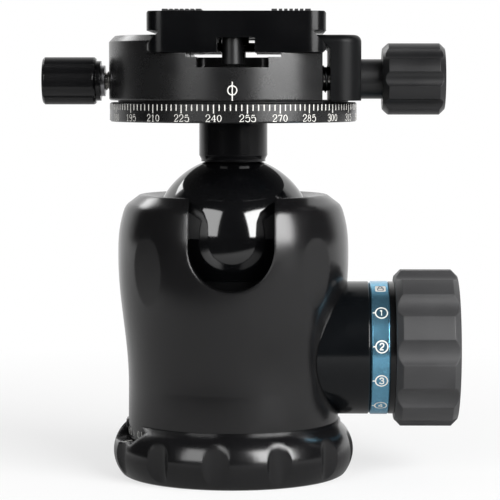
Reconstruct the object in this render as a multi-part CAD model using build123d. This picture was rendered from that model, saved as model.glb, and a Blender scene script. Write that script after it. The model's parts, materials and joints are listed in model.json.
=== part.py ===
from build123d import *

import math
import os

# Tripod ball head. Millimetres, +Z up, origin at the centre of the base's underside.
# The stem's drop notch faces -Y and the main knob points to +X.
# Sizes that stand by themselves come first; places worked out from them follow.

# ---------------------------------------------------------------- fits
FIXED_FIT = 0.02  # radial gap of pieces that don't move against each other
RUNNING_FIT = 0.05  # radial gap of shafts, bores and the ball in its seats
FACE_GAP = 0.05  # gap between flat faces that turn past each other
WEDGE_GAP = 0.02  # gap on the wedge's slope and on its track
SCREW_TIP_ROOM = 0.3  # tapped holes beyond their screws' tips
FLAT_HEAD_HEX = 0.75  # socket's corner radius, as a share of the screw's radius
CAP_HEAD_HEX = 0.55  # socket's corner radius, as a share of the head's radius
CAP_HEAD_WEB = 0.4  # metal under the socket, as a share of the head's height

# ---------------------------------------------------------------- base
TRIPOD_THREAD_R = 3.97  # minor radius of 3/8"-16
BUSH_WALL = 3.03
BUSH_PROUD = 1.6  # above the base's floor, inside the axle
BASE_FLOOR_T = 8.4
BASE_RIM_H = 3.6  # rim above the floor that the housing turns on
BASE_OVERHANG = 3.3  # widest circle beyond the housing's foot
BASE_BULGE_Z = 5.3  # height of the widest circle
BASE_BULGE_R = 7.7  # radius of the bulged side
BASE_FOOT_CHAMFER = 0.3
BASE_RIM_DROP = 0.8  # bevel from the side up to the rim
BASE_RIM_LAND = 0.35
FLUTE_COUNT = 12
FLUTE_PHASE = -6.9  # degrees from the front
FLUTE_R = 4.2
FLUTE_DEPTH = 1.35
UNDERCUT_W = 6.0
UNDERCUT_DEPTH = 0.8
UNDERCUT_STEP = 1.5  # from the axle's flange
WINDOW_ANGLE = 199.5  # degrees from +X, the scale window in the rim
WINDOW_SILL_W = 11.0
WINDOW_TOP_W = 19.0
WINDOW_SILL_SLOPE = 8.0
WINDOW_REACH_IN = 1.0  # how far the cut starts inside the housing's foot

AXLE_WALL = 2.0
AXLE_FLANGE_W = 5.0
AXLE_FLANGE_H = 3.0
AXLE_BORE_STEP = 1.0  # bore over the bush, wider than its thread
BASE_SCREW_COUNT = 3
BASE_SCREW_OUT = 2.0  # from the axle's side to the screws' axes
BASE_SCREW_R = 1.5
BASE_SCREW_HEAD_R = 2.7
BASE_SCREW_SHORT = 0.8  # tips below the axle flange's top

# ---------------------------------------------------------------- ball, seats and wedge
BALL_R = 18.0
BALL_OVER_KNOB = 6.5  # from the knob's axis to the ball's lowest point
BALL_CUT = 1.1  # flat at the foot of the neck, below the ball's top
RACE_WALL = 2.6
RACE_RISE = 0.7  # from the ball's centre to the race's lower edge
RACE_H = 5.6
SEAT_RISE = 3.6  # from the ball's lowest point
SEAT_T = 3.4
SEAT_STEP = 1.0  # seat's radius inside the ball's
SPRING_T = 0.6
SPRING_W = 4.0
SPRING_STEP = 0.8
BLOCK_SIDE_GAP = 0.25
BLOCK_LIFT_ROOM = 1.6  # space under the block's flanks
BLOCK_POCKET_GAP = 0.6
WEDGE_ANGLE = 15.0
WEDGE_HALF_W = 9.0
WEDGE_SIDE_GAP = 0.1
WEDGE_UNDER_AXIS = 2.7  # slope below the knob's axis, at the ball's axis
WEDGE_BACK_GAP = 4.4
WEDGE_LUG_T = 5.65
WEDGE_LUG_H = 5.4  # above the knob's axis
WEDGE_LUG_GAP = 1.4
WEDGE_LUG_ROOF = 0.6
WEDGE_END_GAP = 0.35

# ---------------------------------------------------------------- housing
HOUSING_GAP = 0.2  # between the housing's end and the base's recess
HOUSING_WALL = 2.75  # at the foot, outside the bore
WAIST_IN = 0.1  # narrower than the foot
WAIST_RISE = 11.6  # above the base's floor
BELLY_OUT = 2.15  # wider than the foot
BELLY_DROP = 3.9  # below the ball's centre
BALL_PROUD = 8.4  # ball above the rim
SHOULDER_IN = 1.05  # from the belly to where the rim's curve begins
SHOULDER_DROP = 4.2
BEVEL_IN = 2.25
BEVEL_DROP = 1.9
BEVEL_RUN_IN = 1.2  # inwards for each 1 upwards where the curve meets the bevel
RIDGE_IN = 4.95  # crest of the rim
RIDGE_OUT_W = 0.5  # round of the crest, outwards and inwards
RIDGE_OUT_DROP = 0.25
RIDGE_IN_W = 0.6
RIDGE_IN_DROP = 0.05
RIM_LIP_LAND = 0.1
RIM_LIP_DROP = 0.9
SOCKET_GAP = 0.3  # ball to the housing's own lip
FLOOR_STEP = 0.9  # counterbore for the floor plate

NOTCH_CLEARANCE = 1.66  # each side of the neck
NOTCH_DROP = 0.9  # centre of the notch's round end below the ball's centre
FACET_ANGLES = (-136.0, -44.0, 44.0, 136.0)  # degrees from +X
FACET_DROP = 6.6  # below the ball's centre
FACET_DEPTH = 0.42
FACET_LEAN = 1.6  # degrees

FLOOR_WASHER_T = 0.7
FLOOR_WASHER_STEP = 1.0
FLOOR_T = 4.5
NUT_W = 3.0
NUT_T = 3.0
NUT_GAP = 0.1
NUT_HOLE_R = 0.8  # two holes for a pin spanner
NUT_HOLE_DEPTH = 1.5
NUT_SIDE_GAP = 1.2
WALL_OVER_NUT = 0.7
TRACK_T = 1.0
TRACK_SCREW_COUNT = 4
TRACK_SCREW_PHASE = 45.0  # degrees from +X
TRACK_SCREW_OUT = 3.8  # from the floor's inner wall
TRACK_SCREW_R = 1.0
TRACK_SCREW_LEN = 4.5
TRACK_SCREW_HEAD_R = 1.8

# ---------------------------------------------------------------- main knob and tension ring
BOSS_R = 14.75
BOSS_LIFT = 1.25  # boss above the base's rim
BOSS_REACH = 6.8  # boss beyond the housing's foot
BOSS_SADDLE_SINK = 0.5
BOSS_SPIGOT_R = 8.0
BOSS_POCKET_GAP = 0.05
BOSS_EDGE = 0.4
BOSS_SCREW_IN = 3.25  # from the boss's side
BOSS_SCREW_R = 1.25
BOSS_SCREW_HEAD_R = 2.25
BOSS_SCREW_HEAD_T = 2.0
BOSS_SCREW_HEAD_SINK = 0.1
BOSS_SCREW_END_GAP = 0.75
RING_STEP = 0.05  # ring's radius beyond the boss's
RING_T = 4.1
RING_EDGE = 0.25
RING_BORE_GAP = 0.1
MAIN_SCREW_R = 4.0
MAIN_SCREW_TIP = 0.3  # short of the wedge's lug
MAIN_SCREW_ROOF = 1.5
KNOB_WASHER_T = 0.6
KNOB_WASHER_STEP = 0.5
HUB_CORE_R = 9.9
COLLAR_STEP = 0.05  # collar's radius inside the boss's
COLLAR_T = 1.3
HUB_SPIGOT_R = 12.0
HUB_SPIGOT_LEN = 10.15
HUB_SCREW_R = 2.0
HUB_SCREW_LEN = 8.0
HUB_SCREW_HEAD_R = 3.5
HUB_SCREW_HEAD_T = 2.2
HUB_SCREW_SINK = 2.5
GRIP_WALL = 2.65  # grip's radius beyond the boss's
GRIP_CAP_T = 3.3
GRIP_CAP_GAP = 0.5
GRIP_DOME = 0.5
GRIP_CHAMFER = 1.4
GRIP_ROOT_CHAMFER = 1.4
GRIP_FLUTES = 10
GRIP_FLUTE_R = 4.6
GRIP_FLUTE_DEPTH = 1.15
GRIP_FLUTE_PHASE = -2.6

# ---------------------------------------------------------------- lock screws with small knobs
LOCK_SCREW_R = 2.1
LOCK_KNOB_R = 5.36
LOCK_KNOB_LEN = 12.8
LOCK_KNOB_CHAMFER = 0.5
LOCK_STEP_R = 4.4  # shoulder on the knob's inner end
LOCK_STEP_LEN = 1.05
LOCK_FLUTES = 6
LOCK_FLUTE_R = 3.2
LOCK_FLUTE_DEPTH = 0.45
LOCK_BORE_LEN = 8.0
LOCK_CLIP_W = 1.3
LOCK_CLIP_T = 0.9
SHOE_STEP = 0.15  # shoe's radius inside the screw's
SHOE_LEN = 2.4
SHOE_HOLLOW = 1.0  # how far its horns reach round the drum
TOP_LOCK_GAP = 1.8  # knob's inner end from the clamp's side
TOP_LOCK_RISE = 4.26  # above the clamp's underside
PAN_LOCK_GAP = 1.4  # knob's inner end beyond the base's side

# ---------------------------------------------------------------- neck and panning top
NECK_R = 7.57
NECK_LEN = 8.85
NECK_WALL = 2.57
NECK_ROOF = 0.7
NECK_ROOT_STEP = 0.45
NECK_ROOT_H = 0.5
NECK_CHAMFER_H = 0.9
SCALE_STEP = 0.15  # ring's radius inside the clamp's
SCALE_T = 4.2
SCALE_EDGE = 0.3
SCALE_FLOOR = 1.2  # ring's metal under the spindle's flange
TOP_GAP = 0.44
TOP_WASHER_STEP = 1.85
SPINDLE_WALL = 1.5
SPINDLE_FLANGE_W = 3.0
NECK_BOLT_R = 3.0
NECK_BOLT_HEAD_R = 4.5
NECK_BOLT_HEAD_T = 3.4
NECK_BOLT_SINK = 1.0
NECK_BOLT_GRIP = 8.9  # length inside the ball
RING_SCREW_COUNT = 3
RING_SCREW_R = 0.8
RING_SCREW_HEAD_R = 1.3
RING_SCREW_BITE = 0.6
SPINDLE_NUT_W = 3.4
SPINDLE_NUT_T = 1.9
SPINDLE_NUT_HOLE_R = 0.7
SPINDLE_NUT_HOLE_DEPTH = 1.2
SPINDLE_DROP = 0.4  # below the clamp's channel
BEARING_T = 0.4
BEARING_SIDE_GAP = 0.3
CLAMP_WELL_GAP = 0.6

# ---------------------------------------------------------------- quick-release plate
PLATE_X = 1.1  # plate's centre line
PLATE_W = 38.0
PLATE_LEN = 50.0
PLATE_GAP = 0.1  # above the clamp's floor
PLATE_CORNER = 3.75
RAIL_H = 4.6
SLAB_T = 4.1
DOVETAIL_IN = 3.0  # depth of the 45 degree undercut
PLATE_FOOT_CHAMFER = 0.6
PLATE_TOP_CHAMFER = 0.4
PLATE_GROOVE_W = 7.9
PLATE_GROOVE_DEPTH = 3.1
PLATE_POCKET_R = 9.4
PLATE_ROOF = 2.3  # metal over the screw's pocket
PAD_OUTER = 3.25  # pad's outer edge from the plate's edge
PAD_W = 8.3
PAD_END_GAP = 3.5
PAD_SINK = 1.0
PAD_PROUD = 0.5
PAD_RIB_PITCH = 1.12
PAD_GROOVE_W = 0.4
PAD_GROOVE_DEPTH = 0.4
STOP_X = 0.25
STOP_END_GAP = 4.0  # from the plate's end
STOP_R = 2.2
STOP_FLOOR_GAP = 0.7
STOP_THREAD_R = 1.25
STOP_HEX_R = 1.2
STOP_HEX_DEPTH = 1.4
STOP_ROOF = 2.5
STOP_TRAVEL = 4.0
STOP_GAP = 0.2
CAMERA_THREAD_R = 3.175  # 1/4"-20
CAMERA_HOLE_GAP = 0.225
CAMERA_NECK_R = 2.4
CAMERA_HEAD_R = 6.5
CAMERA_HEAD_RISE = 0.3
CAMERA_HEAD_T = 1.5
CAMERA_THREAD_LEN = 3.8
CAMERA_TIP_SINK = 0.2  # dropped tip below the pads
COIN_SLOT_W = 1.6
COIN_SLOT_DEPTH = 0.9
CLIP_W = 2.2
CLIP_T = 0.5
CLIP_GAP_ANGLE = 70.0

# ---------------------------------------------------------------- clamp
CLAMP_R = 27.4
CLAMP_H = 10.16  # from its underside to its floor
JAW_UNDER_SLAB = 0.8  # jaws' tops below the plate's slab
CLAMP_JAW_BEVEL = 1.3
CHANNEL_X = 0.55
CHANNEL_W = 20.1
CHANNEL_DEPTH = 0.9
RELIEF_X = 0.35
RELIEF_W = 15.1
RELIEF_DEPTH = 3.1
RELIEF_CORNER = 1.6
JAW_PLATE_GAP = 1.0
JAW_BODY_GAP = 1.7
JAW_T = 6.7
JAW_SHORT = 0.25  # each end, inside the clamp's flat
JAW_CORNER = 5.0
JAW_EDGE = 1.5  # round of the top, outside
JAW_SLIDE_FIT = 0.1  # dovetail gap, square to the slope
CLAMP_SCREW_RISE = 4.66  # above the clamp's underside
CLAMP_SCREW_R = 3.0
CLAMP_SCREW_WELL_GAP = 1.2
CLAMP_SCREW_JAW_GAP = 0.2
CLAMP_SCREW_END_GAP = 0.2
CLAMP_SCREW_TIP_ROOM = 0.5
GUIDE_IN = 6.0  # from the jaw's end
GUIDE_R = 1.5
GUIDE_ROOT = 9.5
GUIDE_END_WALL = 1.4
GUIDE_BORE_GAP = 0.4
JAW_SPRING_R = 2.6
JAW_SPRING_ROOM = 0.2
JAW_SPRING_ROOT = 4.5
CLAMP_KNOB_NECK_WALL = 1.37
CLAMP_KNOB_NECK_LEN = 5.05
CLAMP_KNOB_R = 8.0
CLAMP_KNOB_LEN = 13.75
CLAMP_KNOB_ROOF = 6.0
CLAMP_KNOB_CHAMFER = 1.3
CLAMP_KNOB_FLUTES = 8
CLAMP_KNOB_FLUTE_R = 2.6
CLAMP_KNOB_FLUTE_DEPTH = 0.75
LEVEL_R = 3.9
LEVEL_EDGE_GAP = 0.9
LEVEL_WALL = 0.5
LEVEL_DEPTH = 3.4
LEVEL_GLASS_SINK = 0.15

# ---------------------------------------------------------------- radii from the inside out
BUSH_R = TRIPOD_THREAD_R + BUSH_WALL
AXLE_R = BUSH_R + AXLE_WALL
AXLE_FLANGE_R = AXLE_R + AXLE_FLANGE_W
BASE_SCREW_PCR = AXLE_R + BASE_SCREW_OUT
UNDERCUT_IN_R = AXLE_FLANGE_R + UNDERCUT_STEP
UNDERCUT_OUT_R = UNDERCUT_IN_R + UNDERCUT_W
NUT_R = AXLE_R + NUT_W
FLOOR_WALL_IN_R = NUT_R + NUT_SIDE_GAP
TRACK_SCREW_PCR = FLOOR_WALL_IN_R + TRACK_SCREW_OUT
SOCKET_R = BALL_R + RUNNING_FIT
SEAT_R = BALL_R - SEAT_STEP
SPRING_OUT_R = SEAT_R - SPRING_STEP
SPRING_IN_R = SPRING_OUT_R - SPRING_W
RACE_R = BALL_R + RACE_WALL
HOUSING_BORE_R = RACE_R + RUNNING_FIT
FLOOR_SEAT_R = HOUSING_BORE_R + FLOOR_STEP
BLOCK_R = HOUSING_BORE_R - BLOCK_SIDE_GAP
WEDGE_END_R = HOUSING_BORE_R - WEDGE_END_GAP
HOUSING_FOOT_R = HOUSING_BORE_R + HOUSING_WALL
HOUSING_WAIST_R = HOUSING_FOOT_R - WAIST_IN
HOUSING_BELLY_R = HOUSING_FOOT_R + BELLY_OUT
SHOULDER_R = HOUSING_BELLY_R - SHOULDER_IN
BEVEL_R = HOUSING_BELLY_R - BEVEL_IN
RIDGE_R = HOUSING_BELLY_R - RIDGE_IN
BASE_R = HOUSING_FOOT_R + BASE_OVERHANG
FLUTE_FLOOR_R = BASE_R - FLUTE_DEPTH
NOTCH_HALF_W = NECK_R + NOTCH_CLEARANCE
NECK_ROOT_R = NECK_R - NECK_ROOT_STEP
STUB_R = NECK_R - NECK_WALL
SPINDLE_R = NECK_BOLT_HEAD_R + SPINDLE_WALL
SPINDLE_FLANGE_R = SPINDLE_R + SPINDLE_FLANGE_W
RING_SCREW_PCR = (SPINDLE_R + SPINDLE_FLANGE_R) / 2
SPINDLE_NUT_R = SPINDLE_R + SPINDLE_NUT_W
CLAMP_WELL_R = SPINDLE_NUT_R + CLAMP_WELL_GAP
SCALE_R = CLAMP_R - SCALE_STEP
TOP_WASHER_R = SCALE_R - TOP_WASHER_STEP
LOCK_CLIP_R = LOCK_SCREW_R + LOCK_CLIP_W
SHOE_R = LOCK_SCREW_R - SHOE_STEP
RING_R = BOSS_R + RING_STEP
COLLAR_R = BOSS_R - COLLAR_STEP
RING_IN_R = HUB_CORE_R + RING_BORE_GAP
KNOB_WASHER_R = HUB_CORE_R - KNOB_WASHER_STEP
GRIP_R = BOSS_R + GRIP_WALL
CLAMP_KNOB_NECK_R = CLAMP_SCREW_R + CLAMP_KNOB_NECK_WALL
CAMERA_HOLE_R = CAMERA_THREAD_R + CAMERA_HOLE_GAP
CLIP_R = CAMERA_NECK_R + CLIP_W

# ---------------------------------------------------------------- heights from the base up
RECESS_Z = BASE_FLOOR_T
BUSH_H = RECESS_Z + BUSH_PROUD
BASE_SCREW_LEN = RECESS_Z - BASE_SCREW_SHORT
BASE_RIM_Z = RECESS_Z + BASE_RIM_H
HOUSING_WAIST_Z = RECESS_Z + WAIST_RISE
FLOOR_Z0 = RECESS_Z + FLOOR_WASHER_T
FLOOR_Z1 = FLOOR_Z0 + FLOOR_T
NUT_Z0 = FLOOR_Z1 + NUT_GAP
NUT_Z1 = NUT_Z0 + NUT_T
PAN_LOCK_Z = (NUT_Z0 + NUT_Z1) / 2
TRACK_Z0 = NUT_Z1 + WALL_OVER_NUT
TRACK_Z1 = TRACK_Z0 + TRACK_T
KNOB_Z = BASE_RIM_Z + BOSS_LIFT + BOSS_R
WEDGE_MID_Z = KNOB_Z - WEDGE_UNDER_AXIS
WEDGE_LUG_TOP_Z = KNOB_Z + WEDGE_LUG_H
BLOCK_FLANGE_Z = WEDGE_LUG_TOP_Z + WEDGE_LUG_ROOF
BALL_Z = KNOB_Z + BALL_OVER_KNOB + BALL_R
SEAT_BOTTOM_Z = BALL_Z - BALL_R + SEAT_RISE
SEAT_TOP_Z = SEAT_BOTTOM_Z + SEAT_T
RACE_BOTTOM_Z = BALL_Z + RACE_RISE
RACE_TOP_Z = RACE_BOTTOM_Z + RACE_H
HOUSING_BELLY_Z = BALL_Z - BELLY_DROP
HOUSING_TOP_Z = BALL_Z + BALL_R - BALL_PROUD
RIM_LIP_Z = HOUSING_TOP_Z - RIM_LIP_DROP
RIM_BORE_R = math.sqrt((BALL_R + SOCKET_GAP) ** 2 - (RIM_LIP_Z - BALL_Z) ** 2) + RIM_LIP_LAND
NOTCH_CENTRE_Z = BALL_Z - NOTCH_DROP
FACET_Z = BALL_Z - FACET_DROP
BALL_TOP_Z = BALL_Z + BALL_R - BALL_CUT
NECK_BOLT_END_Z = BALL_TOP_Z - NECK_BOLT_GRIP
NECK_TOP_Z = BALL_TOP_Z + FACE_GAP + NECK_LEN
STUB_TOP_Z = NECK_TOP_Z - NECK_ROOF
SCALE_Z1 = NECK_TOP_Z + SCALE_T
SPINDLE_FLANGE_T = SCALE_T - SCALE_FLOOR
RING_SCREW_LEN = SPINDLE_FLANGE_T + RING_SCREW_BITE
CLAMP_Z0 = SCALE_Z1 + TOP_GAP
TOP_LOCK_Z = CLAMP_Z0 + TOP_LOCK_RISE
CLAMP_SCREW_Z = CLAMP_Z0 + CLAMP_SCREW_RISE
CLAMP_FLOOR_Z = CLAMP_Z0 + CLAMP_H
CHANNEL_Z = CLAMP_FLOOR_Z - CHANNEL_DEPTH
RELIEF_Z = CLAMP_FLOOR_Z - RELIEF_DEPTH
SPINDLE_TOP_Z = CHANNEL_Z - SPINDLE_DROP
CLAMP_SHOULDER_Z = SPINDLE_TOP_Z - SPINDLE_NUT_T - BEARING_T
NECK_BOLT_SEAT_Z = SPINDLE_TOP_Z - NECK_BOLT_SINK - NECK_BOLT_HEAD_T
PLATE_Z0 = CLAMP_FLOOR_Z + PLATE_GAP
PLATE_SLAB_Z = PLATE_Z0 + RAIL_H
PLATE_TOP_Z = PLATE_SLAB_Z + SLAB_T
CLAMP_TOP_Z = PLATE_SLAB_Z - JAW_UNDER_SLAB
DOVETAIL_Z = PLATE_SLAB_Z - DOVETAIL_IN
PLATE_GROOVE_TOP_Z = PLATE_Z0 + PLATE_GROOVE_DEPTH
PLATE_POCKET_TOP_Z = PLATE_TOP_Z - PLATE_ROOF
PAD_TOP_Z = PLATE_TOP_Z + PAD_PROUD
STOP_BOTTOM_Z = RELIEF_Z + STOP_FLOOR_GAP
STOP_THREAD_TOP_Z = PLATE_TOP_Z - STOP_ROOF
CAMERA_HEAD_Z = PLATE_Z0 + CAMERA_HEAD_RISE
CAMERA_TIP_Z = PAD_TOP_Z - CAMERA_TIP_SINK
CAMERA_NECK_TOP_Z = CAMERA_TIP_Z - CAMERA_THREAD_LEN

# ---------------------------------------------------------------- places along X and Y
WEDGE_LUG_X = HOUSING_BORE_R - WEDGE_LUG_T
WEDGE_BACK_X = WEDGE_BACK_GAP - BLOCK_R
BLOCK_FLAT_X = WEDGE_LUG_X - WEDGE_LUG_GAP
MAIN_SCREW_END_X = WEDGE_LUG_X + MAIN_SCREW_TIP
BOSS_END_X = HOUSING_FOOT_R + BOSS_REACH
BOSS_SADDLE_R = HOUSING_FOOT_R - BOSS_SADDLE_SINK
BOSS_SPIGOT_X = HOUSING_BORE_R + BOSS_POCKET_GAP
BOSS_SCREW_Y = BOSS_R - BOSS_SCREW_IN
BOSS_SCREW_HEAD_X = BOSS_END_X - BOSS_SCREW_HEAD_T - BOSS_SCREW_HEAD_SINK
BOSS_SCREW_END_X = math.sqrt(HOUSING_BORE_R**2 - BOSS_SCREW_Y**2) + BOSS_SCREW_END_GAP
RING_X0 = BOSS_END_X + FACE_GAP
COLLAR_X0 = RING_X0 + RING_T + FACE_GAP
COLLAR_X1 = COLLAR_X0 + COLLAR_T
HUB_CORE_X = BOSS_END_X + KNOB_WASHER_T
HUB_END_X = COLLAR_X1 + HUB_SPIGOT_LEN
HUB_WEB_X = HUB_END_X - HUB_SCREW_SINK
MAIN_SCREW_HEAD_X = HUB_WEB_X - MAIN_SCREW_ROOF
GRIP_WALL_X = HUB_END_X + GRIP_CAP_GAP
GRIP_END_X = GRIP_WALL_X + GRIP_CAP_T
PAN_LOCK_Y = BASE_R + PAN_LOCK_GAP
TOP_LOCK_X = -CLAMP_R - TOP_LOCK_GAP
PLATE_X0 = PLATE_X - PLATE_W / 2
PLATE_X1 = PLATE_X + PLATE_W / 2
PAD_LEN = PLATE_LEN - 2 * PAD_END_GAP
STOP_Y = PLATE_LEN / 2 - STOP_END_GAP
CHANNEL_X0 = CHANNEL_X - CHANNEL_W / 2
CHANNEL_X1 = CHANNEL_X + CHANNEL_W / 2
LEVEL_X = CHANNEL_X0 - LEVEL_R - LEVEL_EDGE_GAP
JAW_X0 = PLATE_X1 + JAW_PLATE_GAP
JAW_X1 = JAW_X0 + JAW_T
CLAMP_FLAT_X = JAW_X0 - JAW_BODY_GAP
JAW_HALF_W = math.sqrt(CLAMP_R**2 - CLAMP_FLAT_X**2) - JAW_SHORT
GUIDE_Y = JAW_HALF_W - GUIDE_IN
GUIDE_X0 = CLAMP_FLAT_X - GUIDE_ROOT
GUIDE_X1 = JAW_X1 - GUIDE_END_WALL
GUIDE_BORE_X1 = GUIDE_X1 + GUIDE_BORE_GAP
JAW_SPRING_X0 = CLAMP_FLAT_X - JAW_SPRING_ROOT
CLAMP_KNOB_NECK_X = JAW_X1 + CLAMP_KNOB_NECK_LEN
CLAMP_KNOB_X1 = CLAMP_KNOB_NECK_X + CLAMP_KNOB_LEN
CLAMP_KNOB_BORE_X = CLAMP_KNOB_X1 - CLAMP_KNOB_ROOF
CLAMP_SCREW_X0 = CLAMP_WELL_R + CLAMP_SCREW_WELL_GAP
CLAMP_SCREW_X1 = CLAMP_KNOB_BORE_X - CLAMP_SCREW_END_GAP
LONG = 200.0  # longer than any cut needs


# ---------------------------------------------------------------- shape helpers
def disc(r, z0, z1, x=0.0, y=0.0):
    return Pos(x, y, (z0 + z1) / 2) * Cylinder(r, z1 - z0)


def ring(r_out, r_in, z0, z1):
    return disc(r_out, z0, z1) - disc(r_in, z0, z1)


def rod_x(r, x0, x1, y=0.0, z=0.0):
    return Pos((x0 + x1) / 2, y, z) * Rot(0, 90, 0) * Cylinder(r, x1 - x0)


def block(x0, x1, y0, y1, z0, z1):
    centre = Pos((x0 + x1) / 2, (y0 + y1) / 2, (z0 + z1) / 2)
    return centre * Box(x1 - x0, y1 - y0, z1 - z0)


def sphere(r):
    return Pos(0, 0, BALL_Z) * Sphere(r)


def prism_y(points, half_length):
    """A closed outline in X and Z, drawn out along Y both ways."""
    outline = Plane.XZ * make_face(Polyline(*points, close=True))
    return extrude(outline, half_length, both=True)


def turned(*edges):
    """A profile of radius and height, turned about Z."""
    return revolve(Plane.XZ * make_face(edges), Axis.Z)


def around(count, pcr, phase=0.0):
    """Places on a circle about Z."""
    return [Rot(0, 0, phase + 360 * n / count) * Pos(pcr, 0, 0) for n in range(count)]


def to_plus_x(x, z):
    """Turns a piece built along +Z so that it points to +X from (x, 0, z)."""
    return Pos(x, 0, z) * Rot(0, 90, 0)


def to_plus_y(y, z):
    return Pos(0, y, z) * Rot(-90, 0, 0)


def flat_head_screw(r, length, head_r):
    """Countersunk screw along +Z, head's face at 0, with a hex socket."""
    cone_h = head_r - r
    head = Pos(0, 0, cone_h / 2) * Cone(head_r, r, cone_h)
    socket = extrude(RegularPolygon(FLAT_HEAD_HEX * r, 6), cone_h)
    return head + disc(r, cone_h, length) - socket


def flat_head_hole(r, depth, head_r):
    cone_h = head_r - r
    cone = Pos(0, 0, cone_h / 2) * Cone(head_r + FIXED_FIT, r + FIXED_FIT, cone_h)
    return cone + disc(r + FIXED_FIT, cone_h, depth)


def cap_screw(r, length, head_r, head_t):
    """Socket screw along -Z from 0, with its head on +Z."""
    socket = Pos(0, 0, CAP_HEAD_WEB * head_t) * extrude(RegularPolygon(CAP_HEAD_HEX * head_r, 6), head_t)
    return disc(r, -length, 0) + disc(head_r, 0, head_t) - socket


# ---------------------------------------------------------------- base
def side_r(z):
    """Radius of the base's bulged side at a height."""
    rise = z - BASE_BULGE_Z
    return BASE_R - BASE_BULGE_R + math.sqrt(BASE_BULGE_R**2 - rise**2)


def scale_window():
    """Slanted cut through the rim, with a sill that falls outwards."""
    inner = HOUSING_FOOT_R - WINDOW_REACH_IN
    outline = Polyline(
        (-WINDOW_SILL_W / 2, 0),
        (WINDOW_SILL_W / 2, 0),
        (WINDOW_TOP_W / 2, BASE_RIM_Z - RECESS_Z),
        (WINDOW_TOP_W / 2, BASE_RIM_Z),
        (-WINDOW_TOP_W / 2, BASE_RIM_Z),
        (-WINDOW_TOP_W / 2, BASE_RIM_Z - RECESS_Z),
        close=True,
    )
    cut = extrude(Plane.YZ * make_face(outline), BASE_R)
    turn = Rot(0, 0, WINDOW_ANGLE)
    return turn * Pos(inner, 0, RECESS_Z) * Rot(0, WINDOW_SILL_SLOPE, 0) * cut


def make_base_flange():
    foot_r = side_r(0)
    shoulder_z = BASE_RIM_Z - BASE_RIM_DROP
    recess_r = HOUSING_FOOT_R + HOUSING_GAP / 2
    body = turned(
        Line((0, 0), (foot_r - BASE_FOOT_CHAMFER, 0)),
        Line((foot_r - BASE_FOOT_CHAMFER, 0), (side_r(BASE_FOOT_CHAMFER), BASE_FOOT_CHAMFER)),
        ThreePointArc(
            (side_r(BASE_FOOT_CHAMFER), BASE_FOOT_CHAMFER),
            (BASE_R, BASE_BULGE_Z),
            (side_r(shoulder_z), shoulder_z),
        ),
        Line((side_r(shoulder_z), shoulder_z), (recess_r + BASE_RIM_LAND, BASE_RIM_Z)),
        Line((recess_r + BASE_RIM_LAND, BASE_RIM_Z), (recess_r, BASE_RIM_Z)),
        Line((recess_r, BASE_RIM_Z), (recess_r, RECESS_Z)),
        Line((recess_r, RECESS_Z), (0, RECESS_Z)),
        Line((0, RECESS_Z), (0, 0)),
    )
    flute = disc(FLUTE_R, -1, BASE_RIM_Z + 1)
    for place in around(FLUTE_COUNT, FLUTE_FLOOR_R + FLUTE_R, FLUTE_PHASE - 90):
        body -= place * flute
    body -= scale_window()
    body -= disc(BUSH_R + FIXED_FIT, 0, RECESS_Z)
    body -= disc(AXLE_FLANGE_R + FIXED_FIT, RECESS_Z - AXLE_FLANGE_H, RECESS_Z)
    body -= ring(UNDERCUT_OUT_R, UNDERCUT_IN_R, 0, UNDERCUT_DEPTH)
    for place in around(BASE_SCREW_COUNT, BASE_SCREW_PCR):
        body -= place * flat_head_hole(BASE_SCREW_R, RECESS_Z, BASE_SCREW_HEAD_R)
    return body


def make_tripod_bush():
    return ring(BUSH_R, TRIPOD_THREAD_R, 0, BUSH_H)


def make_pan_axle():
    body = disc(AXLE_FLANGE_R, RECESS_Z - AXLE_FLANGE_H, RECESS_Z) + disc(AXLE_R, RECESS_Z, NUT_Z1)
    body -= disc(BUSH_R + FIXED_FIT, 0, BUSH_H)
    body -= disc(TRIPOD_THREAD_R + AXLE_BORE_STEP, 0, LONG)
    for place in around(BASE_SCREW_COUNT, BASE_SCREW_PCR):
        body -= place * disc(BASE_SCREW_R + FIXED_FIT, 0, BASE_SCREW_LEN + SCREW_TIP_ROOM)
    return body


def make_base_screws():
    screw = flat_head_screw(BASE_SCREW_R, BASE_SCREW_LEN, BASE_SCREW_HEAD_R)
    return Compound([place * screw for place in around(BASE_SCREW_COUNT, BASE_SCREW_PCR)])


def make_pan_washer():
    return ring(FLOOR_SEAT_R - FLOOR_WASHER_STEP, AXLE_R + RUNNING_FIT, RECESS_Z, FLOOR_Z0)


def make_pan_nut():
    body = ring(NUT_R, AXLE_R + FIXED_FIT, NUT_Z0, NUT_Z1)
    for place in around(2, (AXLE_R + NUT_R) / 2):
        body -= place * disc(NUT_HOLE_R, NUT_Z1 - NUT_HOLE_DEPTH, NUT_Z1)
    return body


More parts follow.
